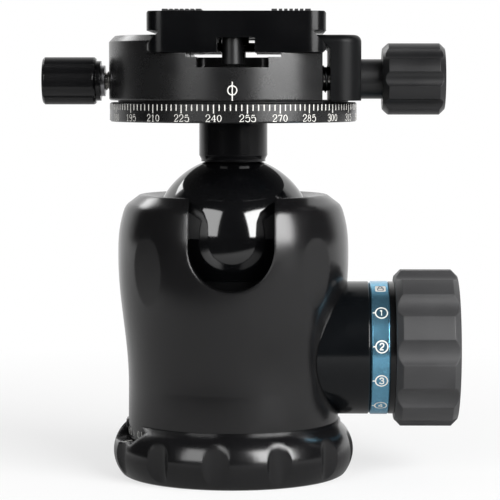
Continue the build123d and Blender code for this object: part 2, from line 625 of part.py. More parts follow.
# ---------------------------------------------------------------- housing
def housing_skin():
    """The housing's outer shape, solid inside, with its lip over the ball."""
    foot_z = RECESS_Z + HOUSING_GAP
    shoulder = (SHOULDER_R, HOUSING_TOP_Z - SHOULDER_DROP)
    bevel = (BEVEL_R, HOUSING_TOP_Z - BEVEL_DROP)
    ridge_out = (RIDGE_R + RIDGE_OUT_W, HOUSING_TOP_Z - RIDGE_OUT_DROP)
    ridge_in = (RIDGE_R - RIDGE_IN_W, HOUSING_TOP_Z - RIDGE_IN_DROP)
    lip = (RIM_BORE_R, RIM_LIP_Z)
    waist = (HOUSING_WAIST_R, HOUSING_WAIST_Z)
    belly = (HOUSING_BELLY_R, HOUSING_BELLY_Z)
    up = (0, 1)
    return turned(
        Line((0, foot_z), (HOUSING_FOOT_R, foot_z)),
        Line((HOUSING_FOOT_R, foot_z), waist),
        Spline(waist, belly, tangents=(up, up)),
        Spline(belly, shoulder, bevel, tangents=(up, (-BEVEL_RUN_IN, 1))),
        Line(bevel, ridge_out),
        ThreePointArc(ridge_out, (RIDGE_R, HOUSING_TOP_Z), ridge_in),
        Line(ridge_in, lip),
        Line(lip, (0, lip[1])),
        Line((0, lip[1]), (0, foot_z)),
    )


def notch_cut():
    """U-shaped way for the neck through the front of the rim."""
    slot = block(-NOTCH_HALF_W, NOTCH_HALF_W, -LONG, 0, NOTCH_CENTRE_Z, LONG)
    round_end = Pos(0, -LONG / 2, NOTCH_CENTRE_Z) * Rot(90, 0, 0) * Cylinder(NOTCH_HALF_W, LONG)
    return slot + round_end


def grip_facets():
    """Flat cuts that show as upright ovals on the belly."""
    cuts = []
    size = 2 * (HOUSING_TOP_Z - FACET_Z)
    for angle in FACET_ANGLES:
        place = Rot(0, 0, angle) * Pos(HOUSING_BELLY_R - FACET_DEPTH, 0, FACET_Z)
        cuts.append(place * Rot(0, FACET_LEAN, 0) * Pos(size / 2, 0, 0) * Box(size, size, size))
    return cuts


def boss_pocket():
    seat = rod_x(BOSS_R + BOSS_POCKET_GAP, 0, LONG / 2, 0, KNOB_Z)
    return seat - disc(BOSS_SADDLE_R - BOSS_POCKET_GAP, 0, HOUSING_TOP_Z)


def lock_bore_y():
    return to_plus_y(NUT_R, PAN_LOCK_Z) * disc(LOCK_SCREW_R + RUNNING_FIT, 0, LONG)


def make_housing():
    body = housing_skin()
    body -= disc(HOUSING_BORE_R, 0, RACE_TOP_Z)
    body -= disc(FLOOR_SEAT_R, 0, FLOOR_Z1)
    body -= sphere(BALL_R + SOCKET_GAP)
    body -= notch_cut()
    for cut in grip_facets():
        body -= cut
    body -= boss_pocket()
    body -= rod_x(BOSS_SPIGOT_R + FIXED_FIT, 0, LONG / 2, 0, KNOB_Z)
    for y in (-BOSS_SCREW_Y, BOSS_SCREW_Y):
        body -= rod_x(BOSS_SCREW_R + FIXED_FIT, 0, LONG / 2, y, KNOB_Z)
    body -= lock_bore_y()
    return body


def make_floor_plate():
    body = disc(FLOOR_SEAT_R - RUNNING_FIT, FLOOR_Z0, FLOOR_Z1)
    body += ring(HOUSING_BORE_R - RUNNING_FIT, FLOOR_WALL_IN_R, FLOOR_Z1, TRACK_Z0)
    body -= disc(AXLE_R + RUNNING_FIT, 0, LONG)
    body -= lock_bore_y()
    tap_z = TRACK_Z1 - TRACK_SCREW_LEN - SCREW_TIP_ROOM
    for place in around(TRACK_SCREW_COUNT, TRACK_SCREW_PCR, TRACK_SCREW_PHASE):
        body -= place * disc(TRACK_SCREW_R + FIXED_FIT, tap_z, TRACK_Z1)
    return body


def track_screw_places():
    return [
        place * Pos(0, 0, TRACK_Z1) * Rot(180, 0, 0)
        for place in around(TRACK_SCREW_COUNT, TRACK_SCREW_PCR, TRACK_SCREW_PHASE)
    ]


def make_track_plate():
    body = disc(HOUSING_BORE_R - RUNNING_FIT, TRACK_Z0, TRACK_Z1)
    for place in track_screw_places():
        body -= place * flat_head_hole(TRACK_SCREW_R, TRACK_SCREW_LEN, TRACK_SCREW_HEAD_R)
    return body


def make_track_screws():
    screw = flat_head_screw(TRACK_SCREW_R, TRACK_SCREW_LEN, TRACK_SCREW_HEAD_R)
    return Compound([place * screw for place in track_screw_places()])


def make_upper_race():
    return disc(RACE_R, RACE_BOTTOM_Z, RACE_TOP_Z) - sphere(SOCKET_R) - notch_cut()


def make_knob_boss():
    body = rod_x(BOSS_R, 0, BOSS_END_X, 0, KNOB_Z)
    body = chamfer(body.edges().sort_by(Axis.X)[-1], BOSS_EDGE)
    body -= disc(BOSS_SADDLE_R, -LONG, LONG)
    body += rod_x(BOSS_SPIGOT_R, BOSS_SPIGOT_X, BOSS_SADDLE_R + 1, 0, KNOB_Z)
    body -= rod_x(MAIN_SCREW_R + RUNNING_FIT, 0, LONG, 0, KNOB_Z)
    for y in (-BOSS_SCREW_Y, BOSS_SCREW_Y):
        body -= rod_x(BOSS_SCREW_R + FIXED_FIT, 0, LONG, y, KNOB_Z)
        body -= rod_x(BOSS_SCREW_HEAD_R + FIXED_FIT, BOSS_SCREW_HEAD_X, LONG, y, KNOB_Z)
    return body


def make_boss_screws():
    length = BOSS_SCREW_HEAD_X - BOSS_SCREW_END_X
    screw = cap_screw(BOSS_SCREW_R, length, BOSS_SCREW_HEAD_R, BOSS_SCREW_HEAD_T)
    place = to_plus_x(BOSS_SCREW_HEAD_X, KNOB_Z)
    return Compound([Pos(0, y, 0) * place * screw for y in (-BOSS_SCREW_Y, BOSS_SCREW_Y)])


# ---------------------------------------------------------------- clamping parts under the ball
def slope_z(x):
    return WEDGE_MID_Z - math.tan(math.radians(WEDGE_ANGLE)) * x


def make_clamp_wedge():
    bottom = TRACK_Z1 + WEDGE_GAP
    end = HOUSING_BORE_R
    body = prism_y(
        [
            (WEDGE_BACK_X, bottom),
            (end, bottom),
            (end, WEDGE_LUG_TOP_Z),
            (WEDGE_LUG_X, WEDGE_LUG_TOP_Z),
            (WEDGE_LUG_X, slope_z(WEDGE_LUG_X)),
            (WEDGE_BACK_X, slope_z(WEDGE_BACK_X)),
        ],
        WEDGE_HALF_W,
    )
    body &= disc(WEDGE_END_R, 0, LONG)
    return body - rod_x(MAIN_SCREW_R + RUNNING_FIT, WEDGE_LUG_X - 2, LONG, 0, KNOB_Z)


def make_pressure_block():
    bottom = TRACK_Z1 + BLOCK_LIFT_ROOM
    top = SEAT_BOTTOM_Z - SPRING_T
    body = disc(BLOCK_R, bottom, top)
    body -= block(BLOCK_FLAT_X, LONG, -LONG, LONG, 0, BLOCK_FLANGE_Z)
    far = 2 * BLOCK_R
    roof = [(-far, 0), (far, 0), (far, slope_z(far) + WEDGE_GAP), (-far, slope_z(-far) + WEDGE_GAP)]
    body -= prism_y(roof, WEDGE_HALF_W + WEDGE_SIDE_GAP)
    return body - sphere(BALL_R + BLOCK_POCKET_GAP)


def make_seat_spring():
    return ring(SPRING_OUT_R, SPRING_IN_R, SEAT_BOTTOM_Z - SPRING_T, SEAT_BOTTOM_Z)


def make_ball_seat():
    return disc(SEAT_R, SEAT_BOTTOM_Z, SEAT_TOP_Z) - sphere(SOCKET_R)


def make_ball():
    body = sphere(BALL_R) - block(-LONG, LONG, -LONG, LONG, BALL_TOP_Z, LONG)
    body += disc(STUB_R, BALL_TOP_Z - 1, STUB_TOP_Z)
    return body - disc(NECK_BOLT_R + RUNNING_FIT, NECK_BOLT_END_Z - SCREW_TIP_ROOM, LONG)


# ---------------------------------------------------------------- neck, scale ring and spindle
def make_neck_sleeve():
    bottom = BALL_TOP_Z + FACE_GAP
    root_top = bottom + NECK_ROOT_H
    body = turned(
        Line((0, bottom), (NECK_ROOT_R, bottom)),
        Line((NECK_ROOT_R, bottom), (NECK_ROOT_R, root_top)),
        Line((NECK_ROOT_R, root_top), (NECK_R, root_top + NECK_CHAMFER_H)),
        Line((NECK_R, root_top + NECK_CHAMFER_H), (NECK_R, NECK_TOP_Z)),
        Line((NECK_R, NECK_TOP_Z), (0, NECK_TOP_Z)),
        Line((0, NECK_TOP_Z), (0, bottom)),
    )
    body -= disc(STUB_R + RUNNING_FIT, 0, STUB_TOP_Z + FACE_GAP)
    return body - disc(NECK_BOLT_R + FIXED_FIT, 0, LONG)


def ring_screw_places():
    return [
        place * Pos(0, 0, SCALE_Z1) * Rot(180, 0, 0)
        for place in around(RING_SCREW_COUNT, RING_SCREW_PCR, 90)
    ]


def make_scale_ring():
    body = disc(SCALE_R, NECK_TOP_Z, SCALE_Z1)
    body = chamfer(body.edges().group_by(Axis.Z)[0] + body.edges().group_by(Axis.Z)[-1], SCALE_EDGE)
    body -= disc(SPINDLE_FLANGE_R + FIXED_FIT, SCALE_Z1 - SPINDLE_FLANGE_T, LONG)
    body -= disc(NECK_BOLT_R + FIXED_FIT, 0, LONG)
    for place in ring_screw_places():
        body -= place * disc(RING_SCREW_R + FIXED_FIT, 0, RING_SCREW_LEN + SCREW_TIP_ROOM)
    return body


def make_top_washer():
    return ring(TOP_WASHER_R, SPINDLE_R + FIXED_FIT, SCALE_Z1, CLAMP_Z0)


def make_spindle():
    body = disc(SPINDLE_FLANGE_R, SCALE_Z1 - SPINDLE_FLANGE_T, SCALE_Z1)
    body += disc(SPINDLE_R, SCALE_Z1, SPINDLE_TOP_Z)
    body -= disc(NECK_BOLT_R + FIXED_FIT, 0, LONG)
    body -= disc(NECK_BOLT_HEAD_R + FIXED_FIT, NECK_BOLT_SEAT_Z, LONG)
    for place in ring_screw_places():
        body -= place * flat_head_hole(RING_SCREW_R, RING_SCREW_LEN, RING_SCREW_HEAD_R)
    return body


def make_ring_screws():
    screw = flat_head_screw(RING_SCREW_R, RING_SCREW_LEN, RING_SCREW_HEAD_R)
    return Compound([place * screw for place in ring_screw_places()])


def make_neck_bolt():
    length = NECK_BOLT_SEAT_Z - NECK_BOLT_END_Z
    screw = cap_screw(NECK_BOLT_R, length, NECK_BOLT_HEAD_R, NECK_BOLT_HEAD_T)
    return Pos(0, 0, NECK_BOLT_SEAT_Z) * screw


def make_bearing_washer():
    top = CLAMP_SHOULDER_Z + BEARING_T
    return ring(CLAMP_WELL_R - BEARING_SIDE_GAP, SPINDLE_R + FIXED_FIT, CLAMP_SHOULDER_Z, top)


def make_spindle_nut():
    body = ring(SPINDLE_NUT_R, SPINDLE_R + FIXED_FIT, CLAMP_SHOULDER_Z + BEARING_T, SPINDLE_TOP_Z)
    for place in around(2, (SPINDLE_R + SPINDLE_NUT_R) / 2):
        body -= place * disc(SPINDLE_NUT_HOLE_R, SPINDLE_TOP_Z - SPINDLE_NUT_HOLE_DEPTH, SPINDLE_TOP_Z)
    return body


# ---------------------------------------------------------------- main knob and tension ring
def make_main_screw():
    body = rod_x(MAIN_SCREW_R, MAIN_SCREW_END_X, MAIN_SCREW_HEAD_X, 0, KNOB_Z)
    tap_x = HUB_WEB_X - HUB_SCREW_LEN - SCREW_TIP_ROOM
    return body - rod_x(HUB_SCREW_R + FIXED_FIT, tap_x, LONG, 0, KNOB_Z)


def make_knob_washer():
    body = rod_x(KNOB_WASHER_R, BOSS_END_X, HUB_CORE_X, 0, KNOB_Z)
    return body - rod_x(MAIN_SCREW_R + FIXED_FIT, 0, LONG, 0, KNOB_Z)


def make_knob_hub():
    body = rod_x(HUB_CORE_R, HUB_CORE_X, COLLAR_X1, 0, KNOB_Z)
    body += rod_x(COLLAR_R, COLLAR_X0, COLLAR_X1, 0, KNOB_Z)
    body += rod_x(HUB_SPIGOT_R, COLLAR_X1, HUB_END_X, 0, KNOB_Z)
    body -= rod_x(MAIN_SCREW_R + FIXED_FIT, 0, MAIN_SCREW_HEAD_X, 0, KNOB_Z)
    body -= rod_x(HUB_SCREW_R + FIXED_FIT, 0, LONG, 0, KNOB_Z)
    return body - rod_x(HUB_SCREW_HEAD_R + FIXED_FIT, HUB_WEB_X, LONG, 0, KNOB_Z)


def make_hub_screw():
    screw = cap_screw(HUB_SCREW_R, HUB_SCREW_LEN, HUB_SCREW_HEAD_R, HUB_SCREW_HEAD_T)
    return to_plus_x(HUB_WEB_X, KNOB_Z) * screw


def make_knob_grip():
    """Built along +Z from the collar, then laid along +X."""
    length = GRIP_END_X - COLLAR_X1
    edge_r = GRIP_R - GRIP_CHAMFER
    top = (0, length + GRIP_DOME)
    body = turned(
        Line((0, 0), (GRIP_R - GRIP_ROOT_CHAMFER, 0)),
        Line((GRIP_R - GRIP_ROOT_CHAMFER, 0), (GRIP_R, GRIP_ROOT_CHAMFER)),
        Line((GRIP_R, GRIP_ROOT_CHAMFER), (GRIP_R, length - GRIP_CHAMFER)),
        Line((GRIP_R, length - GRIP_CHAMFER), (edge_r, length)),
        TangentArc(top, (edge_r, length), tangent=(1, 0)),
        Line(top, (0, 0)),
    )
    flute = disc(GRIP_FLUTE_R, -1, LONG)
    pcr = GRIP_R - GRIP_FLUTE_DEPTH + GRIP_FLUTE_R
    for place in around(GRIP_FLUTES, pcr, GRIP_FLUTE_PHASE - 90):
        body -= place * flute
    body -= disc(HUB_SPIGOT_R + FIXED_FIT, 0, GRIP_WALL_X - COLLAR_X1)
    return to_plus_x(COLLAR_X1, KNOB_Z) * body


def make_tension_ring():
    body = rod_x(RING_R, RING_X0, RING_X0 + RING_T, 0, KNOB_Z)
    ends = body.edges().filter_by(GeomType.CIRCLE)
    body = chamfer(ends, RING_EDGE)
    return body - rod_x(RING_IN_R, 0, LONG, 0, KNOB_Z)


# ---------------------------------------------------------------- lock screws
def lock_knob():
    """Small knob along +Z from its shoulder at 0."""
    body = disc(LOCK_STEP_R, 0, LOCK_STEP_LEN)
    barrel = disc(LOCK_KNOB_R, LOCK_STEP_LEN, LOCK_KNOB_LEN)
    body += chamfer(barrel.edges().filter_by(GeomType.CIRCLE), LOCK_KNOB_CHAMFER)
    flute = disc(LOCK_FLUTE_R, 0, LONG)
    for place in around(LOCK_FLUTES, LOCK_KNOB_R - LOCK_FLUTE_DEPTH + LOCK_FLUTE_R):
        body -= place * flute
    return body - disc(LOCK_SCREW_R + FIXED_FIT, 0, LOCK_BORE_LEN)


def lock_screw(tip):
    """Threaded rod along +Z, from its tip inside to the knob's bore."""
    return disc(LOCK_SCREW_R, -tip, LOCK_BORE_LEN)


def lock_clip():
    return ring(LOCK_CLIP_R, LOCK_SCREW_R + FIXED_FIT, -LOCK_CLIP_T, 0)


def lock_shoe(drum_r, knob_at):
    """Brass shoe along +Z, hollowed to sit on an upright drum of that radius."""
    seat = drum_r + RUNNING_FIT
    body = disc(SHOE_R, seat - SHOE_HOLLOW - knob_at, seat + SHOE_LEN - knob_at)
    drum = Pos(0, 0, -knob_at) * Rot(0, 90, 0) * Cylinder(seat, LONG)
    return body - drum


def shoe_end(drum_r, knob_at):
    return knob_at - drum_r - RUNNING_FIT - SHOE_LEN


PAN_LOCK = Rot(0, 0, 90) * to_plus_x(PAN_LOCK_Y, PAN_LOCK_Z)
TOP_LOCK = Rot(0, 0, 180) * to_plus_x(-TOP_LOCK_X, TOP_LOCK_Z)


def make_pan_shoe():
    return PAN_LOCK * lock_shoe(NUT_R, PAN_LOCK_Y)


def make_pan_lock_screw():
    return PAN_LOCK * lock_screw(shoe_end(NUT_R, PAN_LOCK_Y))


def make_pan_lock_clip():
    return PAN_LOCK * lock_clip()


def make_pan_lock_knob():
    return PAN_LOCK * lock_knob()


def make_top_shoe():
    return TOP_LOCK * lock_shoe(SPINDLE_R, -TOP_LOCK_X)


def make_top_lock_screw():
    return TOP_LOCK * lock_screw(shoe_end(SPINDLE_R, -TOP_LOCK_X))


def make_top_lock_clip():
    return TOP_LOCK * lock_clip()


def make_top_lock_knob():
    return TOP_LOCK * lock_knob()


# ---------------------------------------------------------------- clamp
def dovetail_slot():
    """Room for the plate's left rail between the floor and the fixed jaw's slope."""
    off = JAW_SLIDE_FIT * math.sqrt(2)
    wall_x = PLATE_X0 - JAW_SLIDE_FIT
    lip_x = PLATE_X0 + (CLAMP_TOP_Z - DOVETAIL_Z) - off
    return prism_y(
        [
            (wall_x, CLAMP_FLOOR_Z),
            (LONG, CLAMP_FLOOR_Z),
            (LONG, CLAMP_TOP_Z + 1),
            (lip_x, CLAMP_TOP_Z + 1),
            (lip_x, CLAMP_TOP_Z),
            (wall_x, DOVETAIL_Z + off - JAW_SLIDE_FIT),
        ],
        LONG,
    )


def relief_pockets():
    """Round-cornered recesses at both ends that the plate's stop screws move in."""
    wall_y = STOP_Y - STOP_R - STOP_TRAVEL - STOP_GAP
    depth = CLAMP_R - wall_y + 2 * RELIEF_CORNER
    outline = RectangleRounded(RELIEF_W, depth, RELIEF_CORNER)
    pocket = extrude(outline, LONG)
    return [Pos(RELIEF_X, side * (wall_y + depth / 2), RELIEF_Z) * pocket for side in (-1, 1)]


def make_clamp_body():
    body = disc(CLAMP_R, CLAMP_Z0, CLAMP_TOP_Z)
    body = chamfer(body.edges().group_by(Axis.Z)[-1], CLAMP_JAW_BEVEL)
    body = chamfer(body.edges().group_by(Axis.Z)[0], SCALE_EDGE)
    body -= block(CLAMP_FLAT_X, LONG, -LONG, LONG, 0, LONG)
    body -= dovetail_slot()
    body -= block(CHANNEL_X0, CHANNEL_X1, -LONG, LONG, CHANNEL_Z, LONG)
    for pocket in relief_pockets():
        body -= pocket
    body -= disc(SPINDLE_R + RUNNING_FIT, 0, LONG)
    body -= disc(CLAMP_WELL_R, CLAMP_SHOULDER_Z, LONG)
    tap_x = CLAMP_SCREW_X0 - CLAMP_SCREW_TIP_ROOM
    body -= rod_x(CLAMP_SCREW_R + RUNNING_FIT, tap_x, LONG, 0, CLAMP_SCREW_Z)
    for y in (-GUIDE_Y, GUIDE_Y):
        body -= rod_x(GUIDE_R + FIXED_FIT, GUIDE_X0, LONG, y, CLAMP_SCREW_Z)
        body -= rod_x(JAW_SPRING_R + JAW_SPRING_ROOM, JAW_SPRING_X0, LONG, y, CLAMP_SCREW_Z)
    body -= rod_x(LOCK_SCREW_R + RUNNING_FIT, -LONG, 0, 0, TOP_LOCK_Z)
    return body - disc(LEVEL_R + FIXED_FIT, CLAMP_FLOOR_Z - LEVEL_DEPTH, LONG, LEVEL_X)


def make_level_cup():
    z0 = CLAMP_FLOOR_Z - LEVEL_DEPTH
    body = disc(LEVEL_R, z0, CLAMP_FLOOR_Z, LEVEL_X)
    return body - disc(LEVEL_R - LEVEL_WALL, z0 + LEVEL_WALL, LONG, LEVEL_X)


def make_level_vial():
    z0 = CLAMP_FLOOR_Z - LEVEL_DEPTH + LEVEL_WALL
    r = LEVEL_R - LEVEL_WALL - FIXED_FIT
    return disc(r, z0, CLAMP_FLOOR_Z - LEVEL_GLASS_SINK, LEVEL_X)


def make_guide_pins():
    pins = [rod_x(GUIDE_R, GUIDE_X0, GUIDE_X1, y, CLAMP_SCREW_Z) for y in (-GUIDE_Y, GUIDE_Y)]
    return Compound(pins)


def make_jaw_springs():
    """Coil springs on the guide pins, drawn as sleeves of their outer and inner size."""
    springs = []
    for y in (-GUIDE_Y, GUIDE_Y):
        sleeve = rod_x(JAW_SPRING_R, JAW_SPRING_X0, JAW_X0 - FACE_GAP, y, CLAMP_SCREW_Z)
        springs.append(sleeve - rod_x(GUIDE_R + RUNNING_FIT, 0, LONG, y, CLAMP_SCREW_Z))
    return Compound(springs)


def make_moving_jaw():
    off = JAW_SLIDE_FIT * math.sqrt(2)
    lip_x = PLATE_X1 - (CLAMP_TOP_Z - DOVETAIL_Z) + off
    slope_foot_z = DOVETAIL_Z - (JAW_X0 - PLATE_X1) + off
    body = prism_y(
        [
            (JAW_X0, CLAMP_Z0),
            (JAW_X1, CLAMP_Z0),
            (JAW_X1, CLAMP_TOP_Z),
            (lip_x, CLAMP_TOP_Z),
            (JAW_X0, slope_foot_z),
        ],
        JAW_HALF_W,
    )
    outer = body.edges().filter_by(Axis.Z).group_by(Axis.X)[-1]
    body = fillet(outer, JAW_CORNER)
    rim = body.faces().sort_by(Axis.Z)[-1].edges().group_by(Axis.X)
    body = fillet(rim[-1], JAW_EDGE)
    body -= rod_x(CLAMP_SCREW_R + CLAMP_SCREW_JAW_GAP, 0, LONG, 0, CLAMP_SCREW_Z)
    for y in (-GUIDE_Y, GUIDE_Y):
        body -= rod_x(GUIDE_R + RUNNING_FIT, 0, GUIDE_BORE_X1, y, CLAMP_SCREW_Z)
    return body


def make_clamp_screw():
    return rod_x(CLAMP_SCREW_R, CLAMP_SCREW_X0, CLAMP_SCREW_X1, 0, CLAMP_SCREW_Z)


def make_clamp_knob():
    """Built along +Z from the jaw's face, then laid along +X."""
    neck_len = CLAMP_KNOB_NECK_X - JAW_X1
    length = CLAMP_KNOB_X1 - JAW_X1
    barrel = disc(CLAMP_KNOB_R, neck_len, length)
    barrel = chamfer(barrel.edges().filter_by(GeomType.CIRCLE), CLAMP_KNOB_CHAMFER)
    flute = disc(CLAMP_KNOB_FLUTE_R, 0, LONG)
    pcr = CLAMP_KNOB_R - CLAMP_KNOB_FLUTE_DEPTH + CLAMP_KNOB_FLUTE_R
    for place in around(CLAMP_KNOB_FLUTES, pcr):
        barrel -= place * flute
    body = barrel + disc(CLAMP_KNOB_NECK_R, 0, neck_len)
    body -= disc(CLAMP_SCREW_R + FIXED_FIT, 0, CLAMP_KNOB_BORE_X - JAW_X1)
    return to_plus_x(JAW_X1, CLAMP_SCREW_Z) * body


# ---------------------------------------------------------------- quick-release plate
def pad_spans():
    """X ranges of the two rubber pads."""
    left = PLATE_X0 + PAD_OUTER
    right = PLATE_X1 - PAD_OUTER
    return [(left, left + PAD_W), (right - PAD_W, right)]


def make_quick_plate():
    half = PLATE_W / 2
    foot, edge = PLATE_FOOT_CHAMFER, PLATE_TOP_CHAMFER
    side = [
        (half - foot, PLATE_Z0),
        (half, PLATE_Z0 + foot),
        (half, DOVETAIL_Z),
        (half - DOVETAIL_IN, PLATE_SLAB_Z),
        (half, PLATE_SLAB_Z),
        (half, PLATE_TOP_Z - edge),
        (half - edge, PLATE_TOP_Z),
    ]
    outline = side + [(-x, z) for x, z in reversed(side)]
    body = Pos(PLATE_X, 0, 0) * prism_y(outline, PLATE_LEN / 2)
    plan = RectangleRounded(PLATE_W, PLATE_LEN, PLATE_CORNER)
    body &= Pos(PLATE_X, 0, 0) * extrude(plan, LONG)
    groove = PLATE_GROOVE_W / 2
    body -= block(PLATE_X - groove, PLATE_X + groove, -LONG, LONG, 0, PLATE_GROOVE_TOP_Z)
    body -= disc(PLATE_POCKET_R, 0, PLATE_POCKET_TOP_Z, PLATE_X)
    body -= disc(CAMERA_HOLE_R, 0, LONG, PLATE_X)
    for x0, x1 in pad_spans():
        body -= block(x0, x1, -PAD_LEN / 2, PAD_LEN / 2, PLATE_TOP_Z - PAD_SINK, LONG)
    for y in (-STOP_Y, STOP_Y):
        body -= disc(STOP_THREAD_R + FIXED_FIT, 0, STOP_THREAD_TOP_Z + SCREW_TIP_ROOM, STOP_X, y)
    return body


def make_plate_pads():
    pads = []
    grooves = int(PAD_W / PAD_RIB_PITCH) - 1
    for x0, x1 in pad_spans():
        pad = block(x0, x1, -PAD_LEN / 2, PAD_LEN / 2, PLATE_TOP_Z - PAD_SINK, PAD_TOP_Z)
        for n in range(grooves):
            x = (x0 + x1) / 2 + (n - (grooves - 1) / 2) * PAD_RIB_PITCH
            half = PAD_GROOVE_W / 2
            pad -= block(x - half, x + half, -LONG, LONG, PAD_TOP_Z - PAD_GROOVE_DEPTH, LONG)
        pads.append(pad)
    return Compound(pads)


def make_stop_screws():
    screws = []
    for y in (-STOP_Y, STOP_Y):
        body = disc(STOP_R, STOP_BOTTOM_Z, PLATE_GROOVE_TOP_Z, STOP_X, y)
        body += disc(STOP_THREAD_R, PLATE_GROOVE_TOP_Z, STOP_THREAD_TOP_Z, STOP_X, y)
        socket = Pos(STOP_X, y, STOP_BOTTOM_Z) * extrude(RegularPolygon(STOP_HEX_R, 6), STOP_HEX_DEPTH)
        screws.append(body - socket)
    return Compound(screws)


def make_camera_screw():
    head_top = CAMERA_HEAD_Z + CAMERA_HEAD_T
    body = disc(CAMERA_HEAD_R, CAMERA_HEAD_Z, head_top, PLATE_X)
    body += disc(CAMERA_NECK_R, head_top, CAMERA_NECK_TOP_Z, PLATE_X)
    body += disc(CAMERA_THREAD_R, CAMERA_NECK_TOP_Z, CAMERA_TIP_Z, PLATE_X)
    half = COIN_SLOT_W / 2
    slot_top = CAMERA_HEAD_Z + COIN_SLOT_DEPTH
    return body - block(-LONG, LONG, -half, half, 0, slot_top)


def make_screw_clip():
    z0 = CAMERA_HEAD_Z + CAMERA_HEAD_T
    body = ring(CLIP_R, CAMERA_NECK_R + RUNNING_FIT, z0, z0 + CLIP_T)
    reach = CLIP_R * math.tan(math.radians(CLIP_GAP_ANGLE / 2))
    mouth = extrude(make_face(Polyline((0, 0), (CLIP_R, reach), (CLIP_R, -reach), close=True)), LONG)
    return Pos(PLATE_X, 0, 0) * (body - mouth)


PARTS = {
    "base_flange": make_base_flange,
    "tripod_bush": make_tripod_bush,
    "pan_axle": make_pan_axle,
    "base_screws": make_base_screws,
    "pan_washer": make_pan_washer,
    "pan_nut": make_pan_nut,
    "housing": make_housing,
    "floor_plate": make_floor_plate,
    "track_plate": make_track_plate,
    "track_screws": make_track_screws,
    "upper_race": make_upper_race,
    "knob_boss": make_knob_boss,
    "boss_screws": make_boss_screws,
    "clamp_wedge": make_clamp_wedge,
    "pressure_block": make_pressure_block,
    "seat_spring": make_seat_spring,
    "ball_seat": make_ball_seat,
    "ball": make_ball,
    "neck_sleeve": make_neck_sleeve,
    "scale_ring": make_scale_ring,
    "ring_screws": make_ring_screws,
    "top_washer": make_top_washer,
    "spindle": make_spindle,
    "neck_bolt": make_neck_bolt,
    "bearing_washer": make_bearing_washer,
    "spindle_nut": make_spindle_nut,
    "main_screw": make_main_screw,
    "knob_washer": make_knob_washer,
    "knob_hub": make_knob_hub,
    "hub_screw": make_hub_screw,
    "knob_grip": make_knob_grip,
    "tension_ring": make_tension_ring,
    "pan_shoe": make_pan_shoe,
    "pan_lock_screw": make_pan_lock_screw,
    "pan_lock_clip": make_pan_lock_clip,
    "pan_lock_knob": make_pan_lock_knob,
    "top_shoe": make_top_shoe,
    "top_lock_screw": make_top_lock_screw,
    "top_lock_clip": make_top_lock_clip,
    "top_lock_knob": make_top_lock_knob,
    "clamp_body": make_clamp_body,
    "level_cup": make_level_cup,
    "level_vial": make_level_vial,
    "guide_pins": make_guide_pins,
    "jaw_springs": make_jaw_springs,
    "moving_jaw": make_moving_jaw,
    "clamp_screw": make_clamp_screw,
    "clamp_knob": make_clamp_knob,
    "quick_plate": make_quick_plate,
    "plate_pads": make_plate_pads,
    "stop_screws": make_stop_screws,
    "camera_screw": make_camera_screw,
    "screw_clip": make_screw_clip,
}

os.makedirs("parts", exist_ok=True)
for name, make in PARTS.items():
    export_step(make(), f"parts/{name}.step")
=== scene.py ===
"""Dresses a tripod ball head: finishes, engraved scales, threads, springs, studio and camera.

Lengths are metres, +Z is up, the drop notch faces -Y and the main knob points to +X.
"""

import json
import logging
import math
from collections.abc import Callable
from dataclasses import dataclass
from enum import Enum

import bmesh
import bpy
from mathutils import Matrix, Vector

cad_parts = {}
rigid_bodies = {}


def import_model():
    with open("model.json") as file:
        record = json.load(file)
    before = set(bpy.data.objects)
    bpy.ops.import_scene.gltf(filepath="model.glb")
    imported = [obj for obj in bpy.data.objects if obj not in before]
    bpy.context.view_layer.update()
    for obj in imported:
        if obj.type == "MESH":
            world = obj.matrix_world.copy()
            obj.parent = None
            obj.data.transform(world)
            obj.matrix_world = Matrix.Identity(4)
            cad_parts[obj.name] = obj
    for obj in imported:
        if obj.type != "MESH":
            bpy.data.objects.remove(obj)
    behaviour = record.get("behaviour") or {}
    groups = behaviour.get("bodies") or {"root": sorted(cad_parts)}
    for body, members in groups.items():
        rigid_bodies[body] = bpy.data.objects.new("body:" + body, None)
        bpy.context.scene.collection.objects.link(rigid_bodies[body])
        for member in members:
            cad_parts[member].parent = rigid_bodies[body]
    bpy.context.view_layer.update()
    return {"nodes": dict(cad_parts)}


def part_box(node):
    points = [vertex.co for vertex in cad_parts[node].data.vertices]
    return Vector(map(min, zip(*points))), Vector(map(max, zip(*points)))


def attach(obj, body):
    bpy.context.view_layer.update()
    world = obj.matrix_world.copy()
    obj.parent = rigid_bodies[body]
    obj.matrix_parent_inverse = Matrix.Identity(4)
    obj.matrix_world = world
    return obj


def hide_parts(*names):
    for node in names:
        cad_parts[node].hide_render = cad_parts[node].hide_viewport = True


LOG = logging.getLogger("ball_head")
MM = 0.001
BEVEL_SAMPLES = 6
CROWN_BLEND = 2.0 * MM
FINISH_SUFFIX = "_finish"
LATHE_STEPS = 64
WIRE_SIDES = 8
MERGE_DISTANCE = 1e-7
THREAD_SINK = 0.02 * MM
ABOUT_UP = {"cent": (0, 0, 0), "axis": (0, 0, 1)}
THREAD_TOOTH = (0.0, 0.34, 0.48, 0.82)  # shares of a pitch: foot, crest, crest, foot
SHARP_ANGLE = math.radians(40)
FINE_DETAIL = 3.0
FINE_RANGE = (0.25, 0.75)  # where most of a noise's values lie
BROAD_RANGE = (0.3, 0.7)
GLINT_RANGE = (0.78, 1.0)
WAVE_PERIOD = math.tau / 20  # of a wave texture at scale 1
TOOL_CHATTER = {"Distortion": 0.6, "Detail": 1.0, "Detail Scale": 0.4}
WHITE = (1.0, 1.0, 1.0, 1.0)
MIX_COLOUR_A = 6
MIX_COLOUR_B = 7
MIX_COLOUR_RESULT = 2
Colour = tuple[float, float, float]
Span = tuple[float, float]
Socket = bpy.types.NodeSocket
BMesh = bmesh.types.BMesh
